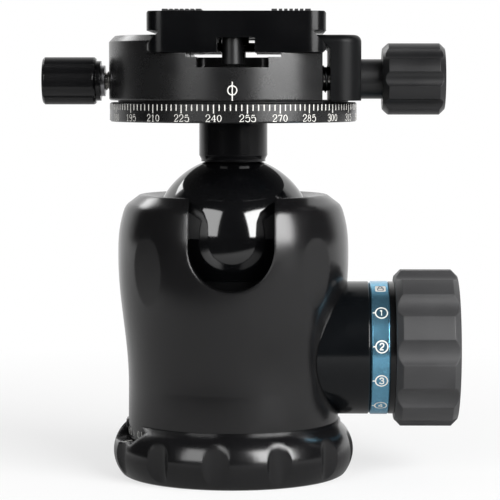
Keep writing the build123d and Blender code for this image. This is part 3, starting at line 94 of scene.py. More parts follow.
Elements = bmesh.types.BMVertSeq | bmesh.types.BMEdgeSeq | bmesh.types.BMFaceSeq


# ---- finishes
class NodeGraph:
    """Builds the node tree of one material, or of the world."""

    def __init__(self, owner: bpy.types.ID, output: str = "ShaderNodeOutputMaterial") -> None:
        """Empties the owner's tree and adds its output node.

        Args:
            owner: a new material or world.
            output: the output node's Blender type.
        """
        owner.use_nodes = True
        self.owner = owner
        self.tree = owner.node_tree
        self.tree.nodes.clear()
        self.output = self.add(output)
        self.coords = self.add("ShaderNodeTexCoord").outputs
        self.object_coords = self.coords["Object"]

    def add(self, kind: str, inputs: dict | None = None, **settings: object) -> bpy.types.Node:
        """Adds a node.

        Args:
            kind: the node's Blender type.
            inputs: socket name to a constant, or to the output that feeds it.
            settings: attributes of the node.

        Returns:
            The new node.
        """
        node = self.tree.nodes.new(kind)
        for key, value in settings.items():
            setattr(node, key, value)
        for key, value in (inputs or {}).items():
            if isinstance(value, Socket):
                self.tree.links.new(value, node.inputs[key])
            else:
                node.inputs[key].default_value = value
        return node

    def noise(self, size: float, detail: float = 2.0) -> Socket:
        """A noise value whose lumps are about that many metres wide."""
        inputs = {"Vector": self.object_coords, "Scale": 1.0 / size, "Detail": detail}
        return self.add("ShaderNodeTexNoise", inputs).outputs["Fac"]

    def cells(self, size: float) -> Socket:
        """A random colour for each small cell of the surface."""
        inputs = {"Vector": self.object_coords, "Scale": 1.0 / size}
        return self.add("ShaderNodeTexVoronoi", inputs).outputs["Color"]

    def ranged(self, value: Socket, source: Span, result: Span) -> Socket:
        """A value moved from one range to another and held there."""
        ends = dict(zip(("From Min", "From Max", "To Min", "To Max"), (*source, *result)))
        return self.add("ShaderNodeMapRange", {"Value": value, **ends}, clamp=True).outputs["Result"]

    def math(self, operation: str, first: object, second: object) -> Socket:
        """One arithmetic step on two values."""
        return self.add("ShaderNodeMath", {0: first, 1: second}, operation=operation).outputs["Value"]

    def shaded(self, colour: Colour, value: Socket, share: float) -> Socket:
        """Turns a colour darker and lighter.

        Args:
            colour: the colour where the value is one half.
            value: goes from 0 to 1.
            share: how much darker and lighter the ends are, as a share of the colour.

        Returns:
            The shaded colour.
        """
        low = (*[c * (1.0 - share) for c in colour], 1.0)
        high = (*[c * (1.0 + share) for c in colour], 1.0)
        return self.blend(value, low, high)

    def blend(self, value: Socket, low: object, high: object) -> Socket:
        """Goes from one colour to another as a value goes from 0 to 1."""
        inputs = {"Factor": value, MIX_COLOUR_A: low, MIX_COLOUR_B: high}
        return self.add("ShaderNodeMix", inputs, data_type="RGBA").outputs[MIX_COLOUR_RESULT]

    def finish(self, shader: bpy.types.Node) -> bpy.types.ID:
        """Joins the shader to the output and gives back the tree's owner."""
        self.tree.links.new(shader.outputs[0], self.output.inputs["Surface"])
        return self.owner


class Tooling(Enum):
    """Marks that a tool leaves on a turned piece, by the axis it was turned about."""

    NONE = "none"
    ABOUT_X = "X"
    ABOUT_Z = "Z"


@dataclass(frozen=True)
class Grain:
    """The fine texture of a surface.

    Sizes and heights are metres; colour and roughness are how far those values swing.
    """

    size: float
    colour: float
    roughness: float
    height: float


@dataclass(frozen=True)
class Surface:
    """Something that makes one material, once, under its own name."""

    name: str

    def material(self) -> bpy.types.Material:
        """Makes the material, or finds the one already made.

        Returns:
            The material, which every piece of this surface shares.
        """
        name = f"{self.name}{FINISH_SUFFIX}"
        made = bpy.data.materials.get(name)
        return made if made else self.build(NodeGraph(bpy.data.materials.new(name)))

    def build(self, graph: NodeGraph) -> bpy.types.Material:
        """Fills the material's node tree."""
        raise NotImplementedError


@dataclass(frozen=True)
class Finish(Surface):
    """One surface finish, made of a base colour, gloss, grain and tool marks."""

    colour: Colour
    metallic: float
    roughness: float
    ior: float
    grain: Grain
    tooling: Tooling = Tooling.NONE
    tool_pitch: float = 0.12 * MM
    tool_height: float = 0.0006 * MM
    edge_radius: float = 0.18 * MM
    crown_radius: float = 0.0
    crown_z: float = 0.0
    sheen: float = 0.0
    # how much painted glint the bright cells add to the colour
    painted_glints: float = 0.0
    painted_glint_size: float = 0.12 * MM
    blotch_size: float = 9.0 * MM
    blotch: float = 0.10

    def build(self, graph: NodeGraph) -> bpy.types.Material:
        """Makes the node tree of this finish.

        Args:
            graph: the new material's empty tree.

        Returns:
            The material.
        """
        fine = graph.noise(self.grain.size, FINE_DETAIL)
        broad = graph.noise(self.blotch_size)
        tint = graph.shaded(self.colour, self.tint_value(graph, fine, broad), 1.0)
        swing = self.grain.roughness
        gloss = graph.math("ADD", graph.math("MULTIPLY", fine, swing), self.roughness - swing / 2)
        gloss = graph.math("ADD", gloss, graph.ranged(broad, BROAD_RANGE, (-swing / 2, swing / 2)))
        shader = graph.add(
            "ShaderNodeBsdfPrincipled",
            {
                "Base Color": tint,
                "Metallic": self.metallic,
                "Roughness": gloss,
                "IOR": self.ior,
                "Sheen Weight": self.sheen,
                "Normal": self.normal(graph, fine),
            },
        )
        return graph.finish(shader)

    def tint_value(self, graph: NodeGraph, fine: Socket, broad: Socket) -> Socket:
        """How light the colour is, by grain, blotches and painted glints.

        Args:
            graph: the material's tree.
            fine: the grain's noise.
            broad: the blotches' noise.

        Returns:
            A value whose one half is the plain colour.
        """
        half = self.grain.colour / 2
        value = graph.ranged(fine, FINE_RANGE, (0.5 - half, 0.5 + half))
        blotches = graph.ranged(broad, BROAD_RANGE, (-self.blotch / 2, self.blotch / 2))
        value = graph.math("ADD", value, blotches)
        # Painted glints: bright random cells painted into the colour, standing in for the sparkle of the
        # blasted finish.
        if self.painted_glints:
            separate = graph.add("ShaderNodeSeparateColor", {"Color": graph.cells(self.painted_glint_size)})
            glint = graph.ranged(separate.outputs[0], GLINT_RANGE, (0.0, self.painted_glints))
            value = graph.math("ADD", value, glint)
        return value

    def crowned(self, graph: NodeGraph) -> Socket:
        """Makes the edge radius grow towards the piece's top.

        Args:
            graph: the material's tree.

        Returns:
            The radius in metres.
        """
        height = graph.add("ShaderNodeSeparateXYZ", {0: graph.object_coords}).outputs["Z"]
        span = (self.crown_z - CROWN_BLEND, self.crown_z)
        return graph.ranged(height, span, (self.edge_radius, self.crown_radius))

    def normal(self, graph: NodeGraph, fine: Socket) -> Socket:
        """Softens the edges, then adds the grain and the tool marks as bumps.

        Args:
            graph: the material's tree.
            fine: the grain's noise.

        Returns:
            The normal for the shader.
        """
        inputs = {"Height": fine, "Distance": self.grain.height, "Strength": 1.0}
        if self.edge_radius:
            radius = self.crowned(graph) if self.crown_radius else self.edge_radius
            edge = graph.add("ShaderNodeBevel", {"Radius": radius}, samples=BEVEL_SAMPLES)
            inputs["Normal"] = edge.outputs[0]
        grain = graph.add("ShaderNodeBump", inputs)
        if self.tooling is Tooling.NONE:
            return grain.outputs[0]
        scale = WAVE_PERIOD / self.tool_pitch
        inputs = {"Vector": graph.object_coords, "Scale": scale, **TOOL_CHATTER}
        wave = graph.add("ShaderNodeTexWave", inputs, wave_type="BANDS", bands_direction=self.tooling.value)
        inputs = {"Height": wave.outputs["Fac"], "Distance": self.tool_height, "Strength": 1.0}
        return graph.add("ShaderNodeBump", {**inputs, "Normal": grain.outputs[0]}).outputs[0]


@dataclass(frozen=True)
class GreenGlass(Surface):
    """The level's vial: clear shell filled with green liquid."""

    name: str = "level_green"
    colour: Colour = (0.42, 0.86, 0.20)
    cloud_size: float = 2.0 * MM
    cloud: float = 0.12
    smear_size: float = 0.6 * MM
    roughness: Span = (0.02, 0.06)
    ior: float = 1.45
    clarity: float = 0.9

    def build(self, graph: NodeGraph) -> bpy.types.Material:
        """Makes the node tree of the glass.

        Args:
            graph: the new material's empty tree.

        Returns:
            The material.
        """
        tint = graph.shaded(self.colour, graph.noise(self.cloud_size), self.cloud)
        gloss = graph.ranged(graph.noise(self.smear_size), BROAD_RANGE, self.roughness)
        shader = graph.add(
            "ShaderNodeBsdfPrincipled",
            {"Base Color": tint, "Roughness": gloss, "IOR": self.ior, "Transmission Weight": self.clarity},
        )
        return graph.finish(shader)


FINE_BLAST = Grain(0.20 * MM, 0.14, 0.05, 0.0030 * MM)
COARSE_BLAST = Grain(0.26 * MM, 0.15, 0.06, 0.0060 * MM)
SATIN = Grain(0.22 * MM, 0.10, 0.05, 0.0012 * MM)
SMOOTH = Grain(0.30 * MM, 0.05, 0.02, 0.0002 * MM)
MOULDED = Grain(0.25 * MM, 0.12, 0.08, 0.0050 * MM)
CUT_STEEL = Grain(0.20 * MM, 0.08, 0.08, 0.0008 * MM)
PAINT = Grain(0.08 * MM, 0.14, 0.10, 0.0020 * MM)

BASE_BLACK = Finish(
    "base_black", (0.0042, 0.0042, 0.0046), 0.0, 0.18, 1.58, FINE_BLAST, edge_radius=0.30 * MM,
    crown_radius=1.50 * MM, crown_z=8.6 * MM,
)
HOUSING_BLACK = Finish(
    "housing_black", (0.0046, 0.0045, 0.0048), 0.0, 0.20, 1.54, FINE_BLAST, edge_radius=0.85 * MM,
    crown_radius=1.90 * MM, crown_z=60.0 * MM,
)
BOSS_BLACK = Finish("boss_black", (0.0022, 0.0027, 0.0033), 0.0, 0.15, 1.48, SATIN, edge_radius=0.30 * MM)
BALL_BLACK = Finish("ball_black", (0.0016, 0.0017, 0.0020), 0.0, 0.08, 1.80, SMOOTH, edge_radius=0.0)
TOP_BLACK = Finish(
    "top_black", (0.0055, 0.0055, 0.0058), 0.0, 0.27, 1.60, COARSE_BLAST, edge_radius=0.25 * MM
)
JAW_BLACK = Finish("jaw_black", (0.0040, 0.0042, 0.0046), 0.0, 0.38, 1.22, SATIN, edge_radius=0.25 * MM)
NECK_BLACK = Finish(
    "neck_black", (0.0030, 0.0030, 0.0034), 0.0, 0.11, 1.40, SMOOTH, Tooling.ABOUT_Z, edge_radius=0.15 * MM
)
PLATE_BLACK = Finish("plate_black", (0.0012, 0.0013, 0.0016), 0.0, 0.22, 1.38, COARSE_BLAST)
KNOB_BLACK = Finish("knob_black", (0.0036, 0.0036, 0.0040), 0.0, 0.18, 1.52, SMOOTH, edge_radius=0.25 * MM)
CHARCOAL = Finish(
    "knob_charcoal", (0.0090, 0.0090, 0.0096), 0.0, 0.34, 1.50, MOULDED, edge_radius=0.14 * MM
)
HUB_BLACK = Finish(
    "hub_black", (0.0032, 0.0032, 0.0036), 0.0, 0.20, 1.54, SATIN, Tooling.ABOUT_X, edge_radius=0.15 * MM
)
GRIP_RUBBER = Finish(
    "grip_rubber", (0.0280, 0.0280, 0.0292), 0.0, 0.50, 1.50, MOULDED, edge_radius=0.40 * MM, sheen=0.06
)
PAD_RUBBER = Finish("pad_rubber", (0.0140, 0.0140, 0.0146), 0.0, 0.60, 1.50, MOULDED, edge_radius=0.12 * MM)
# The blue ring's bright cells are painted glints.
RING_BLUE = Finish(
    "ring_blue", (0.200, 0.490, 0.700), 0.92, 0.20, 1.60, FINE_BLAST, edge_radius=0.12 * MM, painted_glints=0.35
)
ALLOY = Finish("inner_alloy", (0.50, 0.50, 0.51), 1.0, 0.34, 1.50, SATIN, Tooling.ABOUT_Z)
ACETAL = Finish("slide_plastic", (0.035, 0.035, 0.036), 0.0, 0.45, 1.48, SATIN)
STEEL = Finish("steel", (0.58, 0.57, 0.55), 1.0, 0.26, 1.50, CUT_STEEL, Tooling.ABOUT_X)
STEEL_UPRIGHT = Finish("steel_upright", (0.58, 0.57, 0.55), 1.0, 0.26, 1.50, CUT_STEEL, Tooling.ABOUT_Z)
BLACKED_STEEL = Finish(
    "blacked_steel", (0.0040, 0.0040, 0.0044), 0.0, 0.36, 1.45, CUT_STEEL, Tooling.ABOUT_Z
)
SPRING_STEEL = Finish("spring_steel", (0.36, 0.36, 0.37), 1.0, 0.28, 1.50, SMOOTH)
BRASS = Finish("shoe_brass", (0.74, 0.55, 0.24), 1.0, 0.30, 1.50, CUT_STEEL)
CUP_ALLOY = Finish("level_cup", (0.62, 0.62, 0.62), 1.0, 0.30, 1.50, SATIN, Tooling.ABOUT_Z)
WHITE_PAINT = Finish("mark_white", (0.56, 0.55, 0.52), 0.0, 0.60, 1.45, PAINT, edge_radius=0.0)
FAINT_PAINT = Finish("mark_faint", (0.30, 0.30, 0.29), 0.0, 0.60, 1.45, PAINT, edge_radius=0.0)
DARK_PAINT = Finish("mark_dark", (0.030, 0.060, 0.090), 0.0, 0.60, 1.45, PAINT, edge_radius=0.0)
GREEN_GLASS = GreenGlass()


def new_object(name: str, data: bpy.types.ID) -> bpy.types.Object:
    """Makes an object and puts it in the scene.

    Args:
        name: the object's name.
        data: its mesh, curve, lamp or camera.

    Returns:
        The new object.
    """
    made = bpy.data.objects.new(name, data)
    bpy.context.scene.collection.objects.link(made)
    return made


# ---- marks
class Stroke(Enum):
    """How a stroke's points are joined."""

    LINE = "straight"
    CURVE = "smooth"
    LOOP = "round"
    SERIF = "short straight foot"


LINE, CURVE, LOOP, SERIF = Stroke
THIN = 0.5
BOLD = 1.0
GLYPHS: dict[str, tuple] = {
    "0": ((LOOP, (0.31, 0.50, 0.28, 0.48)),),
    "1": (
        (LINE, (0.33, 0.0, BOLD), (0.33, 1.0, BOLD)),
        (LINE, (0.33, 1.0, THIN), (0.12, 0.80, THIN)),
        (SERIF, (0.10, 0.0, THIN), (0.56, 0.0, THIN)),
    ),
    "2": (
        (CURVE, (0.05, 0.72, BOLD), (0.05, 1.02, THIN), (0.55, 1.08, 0.7),
         (0.66, 0.62, BOLD), (0.26, 0.36, 0.7), (0.02, 0.02, THIN)),
        (LINE, (0.02, 0.03, 0.8), (0.58, 0.03, 0.8)),
        (SERIF, (0.58, 0.03, THIN), (0.63, 0.20, THIN)),
    ),
    "3": (
        (CURVE, (0.05, 0.80, 0.8), (0.14, 1.06, THIN), (0.60, 1.06, 0.8), (0.60, 0.54, BOLD),
         (0.22, 0.55, THIN)),
        (CURVE, (0.22, 0.55, THIN), (0.64, 0.58, 0.9), (0.68, 0.01, BOLD),
         (0.14, -0.04, THIN), (0.02, 0.20, 0.8)),
    ),
    "4": (
        (LINE, (0.46, 1.0, THIN), (0.0, 0.30, THIN)),
        (LINE, (0.0, 0.30, THIN), (0.66, 0.30, THIN)),
        (LINE, (0.46, 0.0, BOLD), (0.46, 1.0, BOLD)),
        (SERIF, (0.28, 0.0, THIN), (0.64, 0.0, THIN)),
    ),
    "5": (
        (LINE, (0.12, 0.96, 0.9), (0.55, 0.96, 0.9)),
        (LINE, (0.12, 0.96, THIN), (0.09, 0.52, THIN)),
        (CURVE, (0.09, 0.52, THIN), (0.28, 0.74, 0.6), (0.68, 0.64, 0.9), (0.66, 0.03, BOLD),
         (0.22, -0.04, 0.6), (0.02, 0.18, 0.8)),
    ),
    "6": (
        (LOOP, (0.33, 0.30, 0.26, 0.29)),
        (CURVE, (0.56, 0.90, 0.8), (0.34, 1.12, THIN), (0.04, 0.82, 0.9), (0.07, 0.32, BOLD)),
    ),
    "7": (
        (LINE, (0.04, 0.95, 0.9), (0.60, 0.95, 0.9)),
        (SERIF, (0.04, 0.95, THIN), (0.03, 0.76, THIN)),
        (LINE, (0.60, 0.95, 0.6), (0.26, 0.0, BOLD)),
    ),
    "8": ((LOOP, (0.32, 0.75, 0.21, 0.22)), (LOOP, (0.32, 0.27, 0.27, 0.27))),
    "9": (
        (LOOP, (0.31, 0.70, 0.26, 0.29)),
        (CURVE, (0.08, 0.10, 0.8), (0.30, -0.12, THIN), (0.60, 0.18, 0.9), (0.57, 0.68, BOLD)),
    ),
}
PADLOCK_BODY = ((-0.36, -0.45), (0.36, -0.45), (0.36, 0.06), (-0.36, 0.06))
PADLOCK = (
    *((LINE, (*a, BOLD), (*b, BOLD)) for a, b in zip(PADLOCK_BODY, PADLOCK_BODY[1:] + PADLOCK_BODY[:1])),
    (CURVE, (-0.23, 0.06, 0.8), (-0.23, 0.62, 0.8), (0.23, 0.62, 0.8), (0.23, 0.06, 0.8)),
)
GLYPH_ADVANCE = 0.86
GLYPH_WIDTH = 0.64
PAINT_FLATNESS = 0.12
BRUSH_RESOLUTION = 1
STROKE_RESOLUTION = 5
STROKE_ORDER = 3
LOOP_POINTS = 8
CORNER_STEPS = 3
PLATE_STRIPS = 8
PLATE_CUT = 1e-9


@dataclass(frozen=True)
class Pen:
    """How digits are drawn.

    Args:
        height: digit height in metres.
        weight: full stroke width in metres.
        serifs: draws feet and thick-and-thin strokes if true.
        narrow: share of the usual digit width.
    """

    height: float
    weight: float
    serifs: bool = True
    narrow: float = 1.0

    def curve_points(self, stroke: tuple) -> tuple[list[tuple[float, float, float]], bool]:
        """Finds the points of one stroke.

        Args:
            stroke: its kind and its points, or a loop's centre and radii.

        Returns:
            The points as (x, y, weight), and whether the stroke closes on itself.
        """
        kind = stroke[0]
        if kind is not LOOP:
            return [(x, y, w if self.serifs else BOLD) for x, y, w in stroke[1:]], False
        cx, cy, rx, ry = stroke[1]
        swell = 1.0 / math.cos(math.pi / LOOP_POINTS)
        points = []
        for n in range(LOOP_POINTS):
            turn = math.tau * n / LOOP_POINTS
            side = abs(math.cos(turn)) if self.serifs else 1.0
            weight = THIN + (BOLD - THIN) * side
            points.append((cx + swell * rx * math.cos(turn), cy + swell * ry * math.sin(turn), weight))
        return points, True

    def glyph(self, strokes: tuple, name: str) -> bpy.types.Mesh:
        """A flat painted sign on the XY plane, its paint's thickness along Z.

        Args:
            strokes: strokes as GLYPHS has them, in units of the pen's height.
            name: the mesh's name.

        Returns:
            A new mesh in metres.
        """
        curve = bpy.data.curves.new(name, "CURVE")
        curve.dimensions = "3D"
        curve.bevel_depth = self.weight / 2
        curve.bevel_resolution = BRUSH_RESOLUTION
        curve.resolution_u = STROKE_RESOLUTION
        curve.use_fill_caps = True
        for stroke in strokes:
            if stroke[0] is SERIF and not self.serifs:
                continue
            points, closed = self.curve_points(stroke)
            straight = stroke[0] in (LINE, SERIF)
            spline = curve.splines.new("POLY" if straight else "NURBS")
            spline.points.add(len(points) - 1)
            for point, (x, y, weight) in zip(spline.points, points):
                point.co = (x * self.height * self.narrow, y * self.height, 0.0, 1.0)
                point.radius = weight
            spline.use_cyclic_u = closed
            if not straight:
                spline.order_u = STROKE_ORDER
                spline.use_endpoint_u = not closed
        holder = new_object(name, curve)
        bpy.context.view_layer.update()
        mesh = bpy.data.meshes.new_from_object(holder.evaluated_get(bpy.context.evaluated_depsgraph_get()))
        bpy.data.objects.remove(holder)
        bpy.data.curves.remove(curve)
        mesh.transform(Matrix.Diagonal((1.0, 1.0, PAINT_FLATNESS, 1.0)))
        return mesh


class DrumAxis(Enum):
    """Which way a round face's axis runs."""

    UPRIGHT = "Z"
    LYING = "X"


@dataclass(frozen=True)
class Drum:
    """A round face that flat marks are wrapped round.

    On an upright drum a mark's x runs round it, and y runs up. On a lying one x runs along
    the axis and y round it. Turn 0 is the side towards -Y in both.
    """

    radius: float
    centre: Vector
    axis: DrumAxis

    def wrap(self, verts: list, along: float, turn: float) -> None:
        """Moves flat vertices onto the drum.

        Args:
            verts: vertices of a mark that lies on the XY plane about the origin.
            along: where the mark goes along the axis, in metres from the centre.
            turn: where it goes round the drum, in degrees, to the right or upwards.
        """
        for vert in verts:
            x, y, proud = vert.co
            r = self.radius + proud
            if self.axis is DrumAxis.UPRIGHT:
                angle = math.radians(turn) + x / self.radius
                place = Vector((r * math.sin(angle), -r * math.cos(angle), along + y))
            else:
                angle = math.radians(turn) + y / self.radius
                place = Vector((along + x, -r * math.cos(angle), r * math.sin(angle)))
            vert.co = self.centre + place


class MarkSheet:
    """Collects marks into one mesh."""

    def __init__(self, drum: Drum, pen: Pen) -> None:
        """Starts an empty sheet.

        Args:
            drum: what the marks are wrapped round.
            pen: draws the signs.
        """
        self.drum = drum
        self.pen = pen
        self.bm = bmesh.new()
        self.meshes: dict[str, bpy.types.Mesh] = {}

    def stamp(self, key: str, strokes: tuple, shift: tuple, along: float, turn: float) -> None:
        """Adds one sign.

        Args:
            key: its name; a sign is drawn once and used again.
            strokes: its strokes, as GLYPHS has them.
            shift: how far it is moved on the flat before it is wrapped, in metres.
            along: where it goes along the drum's axis, in metres.
            turn: where it goes round the drum, in degrees.
        """
        if key not in self.meshes:
            self.meshes[key] = self.pen.glyph(strokes, f"glyph_{key}")
        old = set(self.bm.verts)
        self.bm.from_mesh(self.meshes[key])
        fresh = fresh_verts(self.bm, old)
        bmesh.ops.translate(self.bm, verts=fresh, vec=(*shift, 0.0))
        self.drum.wrap(fresh, along, turn)

    def number(self, text: str, along: float, turn: float) -> None:
        """Adds a number, centred on its place.

        Args:
            text: its digits.
            along: where its foot goes along the drum's axis, in metres.
            turn: where it goes round the drum, in degrees.
        """
        pen = self.pen
        advance = GLYPH_ADVANCE * pen.height * pen.narrow
        width = advance * (len(text) - 1) + GLYPH_WIDTH * pen.height * pen.narrow
        for n, digit in enumerate(text):
            self.stamp(digit, GLYPHS[digit], (n * advance - width / 2, 0.0), along, turn)

    def bar(self, width: float, height: float, along: float, turn: float) -> None:
        """Adds a thin straight bar.

        Args:
            width: its width in metres.
            height: how far it reaches up from its foot, in metres.
            along: where its foot goes along the drum's axis, in metres.
            turn: where it goes round the drum, in degrees.
        """
        size = (width, height, PAINT_FLATNESS * self.pen.weight, 1.0)
        place = Matrix.Translation((0.0, height / 2, 0.0)) @ Matrix.Diagonal(size)
        made = bmesh.ops.create_cube(self.bm, size=1.0, matrix=place)
        self.drum.wrap(made["verts"], along, turn)

    def plate(self, width: float, height: float, corner: float, along: float, turn: float) -> None:
        """Adds a filled, round-cornered plate, centred on its place.

        Args:
            width: its width in metres.
            height: its height in metres.
            corner: the radius of its corners in metres.
            along: where it goes along the drum's axis, in metres.
            turn: where it goes round the drum, in degrees.
        """
        size = (width, height, PAINT_FLATNESS * self.pen.weight, 1.0)
        old = set(self.bm.verts)
        made = bmesh.ops.create_cube(self.bm, size=1.0, matrix=Matrix.Diagonal(size))
        edges = linked(made["verts"], "link_edges")
        upright = [edge for edge in edges if abs((edge.verts[0].co - edge.verts[1].co).z) > 0]
        rounding = {"offset": corner, "segments": CORNER_STEPS, "profile": 0.5}
        bmesh.ops.bevel(self.bm, geom=upright, affect="EDGES", material=-1, **rounding)
        for n in range(1, PLATE_STRIPS):
            fresh = fresh_verts(self.bm, old)
            cut = Vector((0.0, height * (n / PLATE_STRIPS - 0.5), 0.0))
            geom = [*fresh, *linked(fresh, "link_edges"), *linked(fresh, "link_faces")]
            bmesh.ops.bisect_plane(self.bm, geom=geom, dist=PLATE_CUT, plane_co=cut, plane_no=(0, 1, 0))
        self.drum.wrap(fresh_verts(self.bm, old), along, turn)

    def piece(self, name: str, finish: Finish, body: str) -> bpy.types.Object:
        """Turns the sheet into a piece of the object.

        Args:
            name: the piece's name.
            finish: its paint.
            body: the CAD body it rides on.

        Returns:
            The new object.
        """
        for mesh in self.meshes.values():
            bpy.data.meshes.remove(mesh)
        return piece_from(self.bm, name, finish, body)


# ---- pieces
def piece_from(bm: BMesh, name: str, finish: Finish, body: str) -> bpy.types.Object:
    """Makes an object of a finished bmesh.

    Args:
        bm: the mesh, in its place in the row frame; it is freed.
        name: the piece's name.
        finish: its surface.
        body: the CAD body it rides on.

    Returns:
        The new object.
    """
    reorder(bm.verts, lambda vert: tuple(vert.co))
    for items in (bm.edges, bm.faces):
        reorder(items, lambda item: sorted(vert.index for vert in item.verts))
    bmesh.ops.recalc_face_normals(bm, faces=bm.faces)
    mesh = bpy.data.meshes.new(name)
    bm.to_mesh(mesh)
    bm.free()
    mesh.shade_smooth()
    mesh.set_sharp_from_angle(angle=SHARP_ANGLE)
    mesh.materials.append(finish.material())
    piece = new_object(name, mesh)
    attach(piece, body)
    LOG.info("%s: %d faces on %s", name, len(mesh.polygons), body)
    return piece


def reorder(items: Elements, key: Callable) -> None:
    """Sorts a mesh's items, which a spin leaves in another order on each run.

    Args:
        items: its vertices, edges or faces.
        key: gives what an item is sorted by.
    """
    for rank, item in enumerate(sorted(items, key=key)):
        item.index = rank
    items.sort()


def linked(items: list, kind: str) -> list:
    """What the items are linked to, each once, in the order it is met."""
    return list(dict.fromkeys(found for item in items for found in getattr(item, kind)))


def fresh_verts(bm: BMesh, old: set) -> list:
    """The vertices that were not in the mesh before."""
    bm.verts.ensure_lookup_table()
    return [vert for vert in bm.verts if vert not in old]


def lathe(bm: BMesh, outline: list[Span], place: Matrix, closed: bool = False) -> None:
    """Turns an outline once about +Z.

    Args:
        bm: gets the new faces.
        outline: corners as (radius, height), from one pole to the other unless it is closed.
        place: where the axis goes.
        closed: joins the last corner to the first, as for a ring.
    """
    old = set(bm.verts)
    verts = [bm.verts.new((radius, 0.0, height)) for radius, height in outline]
    pairs = list(zip(verts, verts[1:])) + ([(verts[-1], verts[0])] if closed else [])
    edges = [bm.edges.new(pair) for pair in pairs]
    turn = {"angle": math.tau, "steps": LATHE_STEPS, "use_merge": True}
    bmesh.ops.spin(bm, geom=verts + edges, **ABOUT_UP, **turn)
    bmesh.ops.remove_doubles(bm, verts=fresh_verts(bm, old), dist=MERGE_DISTANCE)
    bmesh.ops.transform(bm, matrix=place, verts=fresh_verts(bm, old))


@dataclass(frozen=True)
class Winding:
    """A helix about +Z: a screw's ridge or a spring's wire."""

    pitch: float
    turns: float
    steps: int = 24

    def wind(self, bm: BMesh, verts: list, place: Matrix) -> None:
        """Winds a closed outline about the axis and closes its ends.

        Args:
            bm: the mesh that holds the outline, and gets the new faces.
            verts: the outline's vertices, in the XZ plane.
            place: where the axis goes.
        """
        old = set(bm.verts) - set(verts)
        edges = linked(verts, "link_edges")
        rise = (0, 0, self.pitch / self.steps)
        turn = {"angle": math.tau * self.turns, "steps": round(self.steps * self.turns)}
        bmesh.ops.spin(bm, geom=verts + edges, dvec=rise, **ABOUT_UP, **turn)
        rims = [edge for edge in bm.edges if edge.is_boundary]
        bmesh.ops.holes_fill(bm, edges=rims, sides=len(verts))
        bmesh.ops.transform(bm, matrix=place, verts=fresh_verts(bm, old))

    def ridge(self, bm: BMesh, foot: float, crest: float, place: Matrix) -> None:
        """Winds a thread's tooth.

        Args:
            bm: gets the new faces.
            foot: the radius it stands on.
            crest: the radius it reaches to, the smaller one inside a bore.
            place: where the axis goes.
        """
        corners = zip((foot, crest, crest, foot), THREAD_TOOTH)
        verts = [bm.verts.new((radius, 0.0, share * self.pitch)) for radius, share in corners]
        for pair in zip(verts, verts[1:] + verts[:1]):
            bm.edges.new(pair)
        self.wind(bm, verts, place)

    def wire(self, bm: BMesh, mean_radius: float, thickness: float, place: Matrix) -> None:
        """Winds a round wire.

        Args:
            bm: gets the new faces.
            mean_radius: the radius of the wire's middle line.
            thickness: the wire's diameter.
            place: where the axis goes.
        """
        upright = Matrix.Translation((mean_radius, 0.0, 0.0)) @ Matrix.Rotation(math.pi / 2, 4, "X")
        made = bmesh.ops.create_circle(bm, segments=WIRE_SIDES, radius=thickness / 2, matrix=upright)
        self.wind(bm, made["verts"], place)


def along_axis(start: Vector, direction: Vector) -> Matrix:
    """A matrix that takes +Z from the origin to a direction from a start."""
    return Matrix.Translation(start) @ direction.to_track_quat("Z", "Y").to_matrix().to_4x4()


@dataclass(frozen=True)
class ThreadedRod:
    """A plain CAD rod drawn again with its thread, from the rod's own box."""

    node: str
    body: str
    pitch: float
    depth: float
    slot: str = "steel"
    tip: float = 0.35 * MM

    def build(self, finish: Finish) -> None:
        """Turns the rod's core and winds its thread.

        Args:
            finish: the rod's surface.
        """
        low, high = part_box(self.node)
        size = high - low
        axis = max(range(3), key=lambda n: size[n])
        radius = min(size) / 2
        length = size[axis]
        start = (low + high) / 2
        start[axis] = low[axis]
        direction = Vector([float(n == axis) for n in range(3)])
        place = along_axis(start, direction)
        root = radius - self.depth
        bm = bmesh.new()
        ends = [(0.0, 0.0), (root - self.tip, 0.0), (root, self.tip)]
        lathe(bm, ends + [(r, length - z) for r, z in reversed(ends)], place)
        winding = Winding(self.pitch, (length - self.pitch) / self.pitch)
        winding.ridge(bm, root - THREAD_SINK, radius, place)
        rod = piece_from(bm, f"{self.node}_thread", finish, self.body)
        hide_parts(self.node)


# ---- sub-assemblies
@dataclass
class Assembly:
    """A part of the head that is built in one go, with the CAD nodes that it may dress."""

    nodes: dict[str, bpy.types.Object]

    def dress(self, finish: Surface, *names: str) -> None:
        """Gives CAD nodes a finish.

        Args:
            finish: the surface.
            names: the nodes.
        """
        for name in names:
            for slot in self.nodes[name].material_slots:
                slot.material = finish.material()
            LOG.info("%s: %s", name, finish.name)


